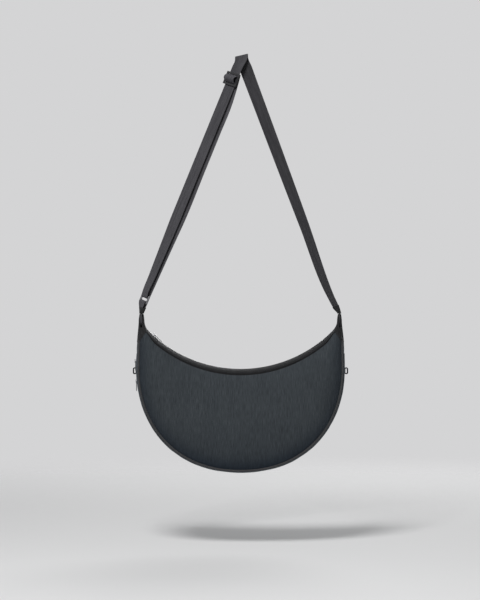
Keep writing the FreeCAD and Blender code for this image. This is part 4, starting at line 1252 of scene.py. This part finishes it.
# Collars: the cap cloth goes on up round each strap end, parted from the cap where the bag swings
COLLAR_POINTS = 120
COLLAR_POWER = 4.6
COLLAR_CLOTH = 0.5
COLLAR_RISE = 0.6
COLLAR_HANG = 0.4
COLLAR_EASE = 1.0
COLLAR_FLARE = 0.8
COLLAR_FOLDS = 17
COLLAR_FOLD = 0.28


def collar(hand, frames, low_half, high_half, inset, drift=2.2, flattens=0.5, varies=0.6, sideways=0.5):
    """Rows of points round the collar, each from its lower edge to its upper one."""
    rows = []
    for k in range(COLLAR_POINTS):
        turn = 360 * k / COLLAR_POINTS
        thick, wide = squared_round(turn, COLLAR_POWER)
        phase = math.radians(COLLAR_FOLDS * turn) + drift * rough((turn, hand * 50, 0), 60)
        row = []
        for i, (centre, across, face) in enumerate(frames):
            part = i / (len(frames) - 1)
            half = low_half + (high_half - low_half) * part ** COLLAR_FLARE
            uneven = varies * rough((turn, part * 40, hand * 9), 21)
            fold = COLLAR_FOLD * math.sin(phase) * (1 - flattens * part + uneven)
            reach = WEB_WIDTH / 2 + COLLAR_EASE + sideways * fold - inset
            spot = centre + face * thick * (half + fold - inset) + across * wide * reach
            spot[2] -= COLLAR_HANG * wide ** 4 * (1 - part) ** 2
            row.append(spot)
        rows.append(row)
    return rows


# For each collar its keys, the height it ends at, and half its thickness at its lower and upper edge
LEFT_KEYS = [(LEFT_LAP, FORWARD, LEFT), (TAB_HIGH, FORWARD, LEFT), (TAB_MIDDLE, TAB_WIDTH, LEFT),
             (LOW_BAR, RING_WIDTH, RING_FACE)]
COLLARS = {"left": (LEFT_KEYS, -477.0, 4.2, 4.7), "right": (right_keys()[:5], -474.5, 3.3, 1.7)}
for word, hand in HANDS:
    keys, top, low_half, high_half = COLLARS[word]
    frames = [f for f in through(keys, COLLAR_STEP) if LAP_TOP[2] + COLLAR_RISE <= f[0][2] <= top]
    outer = collar(hand, frames, low_half, high_half, 0.0)
    inner = collar(hand, frames, low_half, high_half, COLLAR_CLOTH)
    marks = [[(p[0] + p[1], p[2]) for p in row] for row in outer]
    cover(f"{word}_strap_collar", slab(outer, inner, marks, closed=True), CAP, "strap", "trim_fabric")


# Adjuster: the webbing that crosses its middle bar
ADJUSTER_THICKNESS = 2.6
ADJUSTER_END_BAR = 3.4
CROSSOVER_RISE = 11.5
CROSSOVER_POWER = 2.3
CROSSOVER_TUCK = 0.1
CROSSOVER_FOOT = (WEB_THICKNESS - ADJUSTER_THICKNESS) / 2 - GAP + CROSSOVER_TUCK
CROSSOVER_PARTS = spread(-1, 1, 10)
CROSSOVER_REACH = ADJUSTER_LENGTH / 2 - ADJUSTER_END_BAR - GAP - WEB_THICKNESS / 2
spot, width, face = left_frame(ADJUSTER_STATION, -(WEB_THICKNESS + ADJUSTER_THICKNESS) / 2 - GAP)
keys = []
for part in CROSSOVER_PARTS:
    rise = CROSSOVER_FOOT + (CROSSOVER_RISE - WEB_THICKNESS) * (1 - abs(part) ** CROSSOVER_POWER)
    slope = abs(part) ** (CROSSOVER_POWER - 1) * math.copysign(1, part)
    slope *= -CROSSOVER_POWER * CROSSOVER_RISE / CROSSOVER_REACH
    centre = spot - LEFT_DOWN * CROSSOVER_REACH * part + face * rise
    keys.append((centre, width, unit(face + LEFT_DOWN * slope)))
cover("adjuster_band", ribbon(through(keys, CROSSOVER_STEP)), WEBBING,
      "adjuster", "webbing", "adjuster_crossover")


# Side loops: narrow webbing folded into a loop with rounded corners
LOOP_DROP = 598.5
LOOP_REACH = 7.4
LOOP_HEIGHT = 13.0
LOOP_WALL = 2.2
LOOP_WIDTH = 11.0
LOOP_DEPTH = 10.0 + LOOP_WIDTH / 2
LOOP_ROUND = 2.2
LOOP_CORNER_STEPS = 6
LOOP_INSET = LOOP_WALL / 2 + LOOP_ROUND


def loop_frames(hand):
    near, far = LOOP_INSET, LOOP_REACH - LOOP_INSET
    half = LOOP_HEIGHT / 2 - LOOP_INSET
    frames = []
    for k, (x, z) in enumerate(((far, half), (near, half), (near, -half), (far, -half))):
        corner = np.array((hand * (HALF_WIDTH + GAP + x), LOOP_DEPTH, z - LOOP_DROP))
        for turn in spread(90 * k, 90 * (k + 1), LOOP_CORNER_STEPS):
            away = np.array((hand * cos(turn), 0, sin(turn)))
            frames.append((corner + away * LOOP_ROUND, ACROSS, away))
    return frames


for word, hand in HANDS:
    form = ribbon(loop_frames(hand), width=LOOP_WIDTH, thickness=LOOP_WALL, closed=True)
    cover(f"{word}_loop_band", form, LOOP_WEBBING,
          "bag", "trim_fabric", f"{word}_side_loop")


# Hard pieces keep their solids and take a finish
FINISHES = (
    (TEETH, "main_zip_front_teeth", "main_zip_back_teeth"),
    (SLIDER_METAL, "main_slider", "upper_gusset_slider", "lower_gusset_slider"),
    (SLIDER_METAL, "gusset_zip_stops", "main_zip_stops"),
    (PULL_METAL, "main_pull", "upper_gusset_pull", "lower_gusset_pull"),
    (RING_METAL, "strap_ring"),
    (PLASTIC, "adjuster_frame"),
)
for material, *nodes in FINISHES:
    for node in nodes:
        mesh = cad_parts[node].data
        mesh.materials.clear()
        mesh.materials.append(material)


# Stage, in metres: a pale round floor that fades into a pale surround
FLOOR = -0.93
FLOOR_RADIUS = 2.4
FLOOR_FADE = 0.6
FLOOR_SEGMENTS = 96
SURROUND = tone(212, 212, 213)
PAPER_STOPS = (0.3, 0.7)
PAPER_TONES = ((223, 223, 223), (227, 227, 227))
PAPER_GRAIN = 700.0


def paper_material():
    """Paper with faint grain that turns clear towards the rim of the floor."""
    made, tree, shader = blank("paper", specular_ior_level=0.1, roughness=0.9)
    place = add(tree, "ShaderNodeTexCoord").outputs["Object"]
    grain = add(tree, "ShaderNodeTexNoise", {"Vector": place, "Scale": PAPER_GRAIN, "Detail": 2.0})
    colour = ramp(tree, grain.outputs["Fac"], PAPER_STOPS, PAPER_TONES)
    tree.links.new(colour, shader.inputs["Base Color"])
    away = add(tree, "ShaderNodeVectorMath", {0: place}, operation="LENGTH").outputs["Value"]
    fade = add(tree, "ShaderNodeMapRange", {"Value": away, "From Min": FLOOR_FADE, "From Max": FLOOR_RADIUS},
               interpolation_type="SMOOTHSTEP").outputs[0]
    clear = add(tree, "ShaderNodeBsdfTransparent").outputs[0]
    mixed = add(tree, "ShaderNodeMixShader", {0: fade, 1: shader.outputs[0], 2: clear}).outputs[0]
    tree.links.new(mixed, tree.nodes["Material Output"].inputs["Surface"])
    return made


mesh = simple_mesh("floor", bmesh.ops.create_circle, cap_ends=True, segments=FLOOR_SEGMENTS,
                   radius=FLOOR_RADIUS)
floor = linked("floor", mesh)
floor.location = (0, 0, FLOOR)
mesh.materials.append(paper_material())


# Camera with a long lens, from the front
CENTRE = Vector((-0.00095, 0.0, -0.4636))
DISTANCE = 4.0
VIEW_HEIGHT = 1.14
SENSOR = 36.0
camera_data = bpy.data.cameras.new("camera")
camera_data.sensor_width = SENSOR
camera_data.lens = SENSOR * DISTANCE / VIEW_HEIGHT
camera = linked("camera", camera_data)
camera.location = CENTRE + Vector((0, -DISTANCE, 0))
camera.rotation_euler = (math.radians(90), 0, 0)
bpy.context.scene.camera = camera


# Soft lamps: name, place and size in metres, and power in watts
LAMPS = (("key", (-0.6, -2.0, 1.6), 0.9, 69), ("fill", (0.6, -2.6, 0.2), 1.4, 3),
         ("back", (0.8, 3.0, 0.6), 2.0, 55))
LAMP_AIM = Vector((0, 0, -0.5))
for name, place, size, power in LAMPS:
    data = bpy.data.lights.new(name, "AREA")
    data.shape = "DISK"
    data.size = size
    data.energy = power
    made = linked(name, data)
    made.location = place
    made.rotation_euler = (LAMP_AIM - Vector(place)).to_track_quat("-Z", "Y").to_euler()


# World: faint sky light, and the pale surround wherever the background itself is seen
SKY = (0.95, 0.97, 1.0, 1.0)
SKY_STRENGTH = 0.16
world = bpy.data.worlds.new("studio")
world.use_nodes = True
tree = world.node_tree
sky = tree.nodes["Background"]
sky.inputs["Color"].default_value = SKY
sky.inputs["Strength"].default_value = SKY_STRENGTH
rays = add(tree, "ShaderNodeLightPath").outputs
seen = maths(tree, "MAXIMUM", rays["Is Camera Ray"], rays["Is Glossy Ray"])
seen = maths(tree, "MAXIMUM", seen, rays["Is Transmission Ray"])
surround = add(tree, "ShaderNodeBackground", {"Color": SURROUND, "Strength": 1.0}).outputs[0]
mixed = add(tree, "ShaderNodeMixShader", {0: seen, 1: sky.outputs[0], 2: surround}).outputs[0]
tree.links.new(mixed, tree.nodes["World Output"].inputs["Surface"])
bpy.context.scene.world = world
bpy.context.scene.view_settings.view_transform = "Standard"
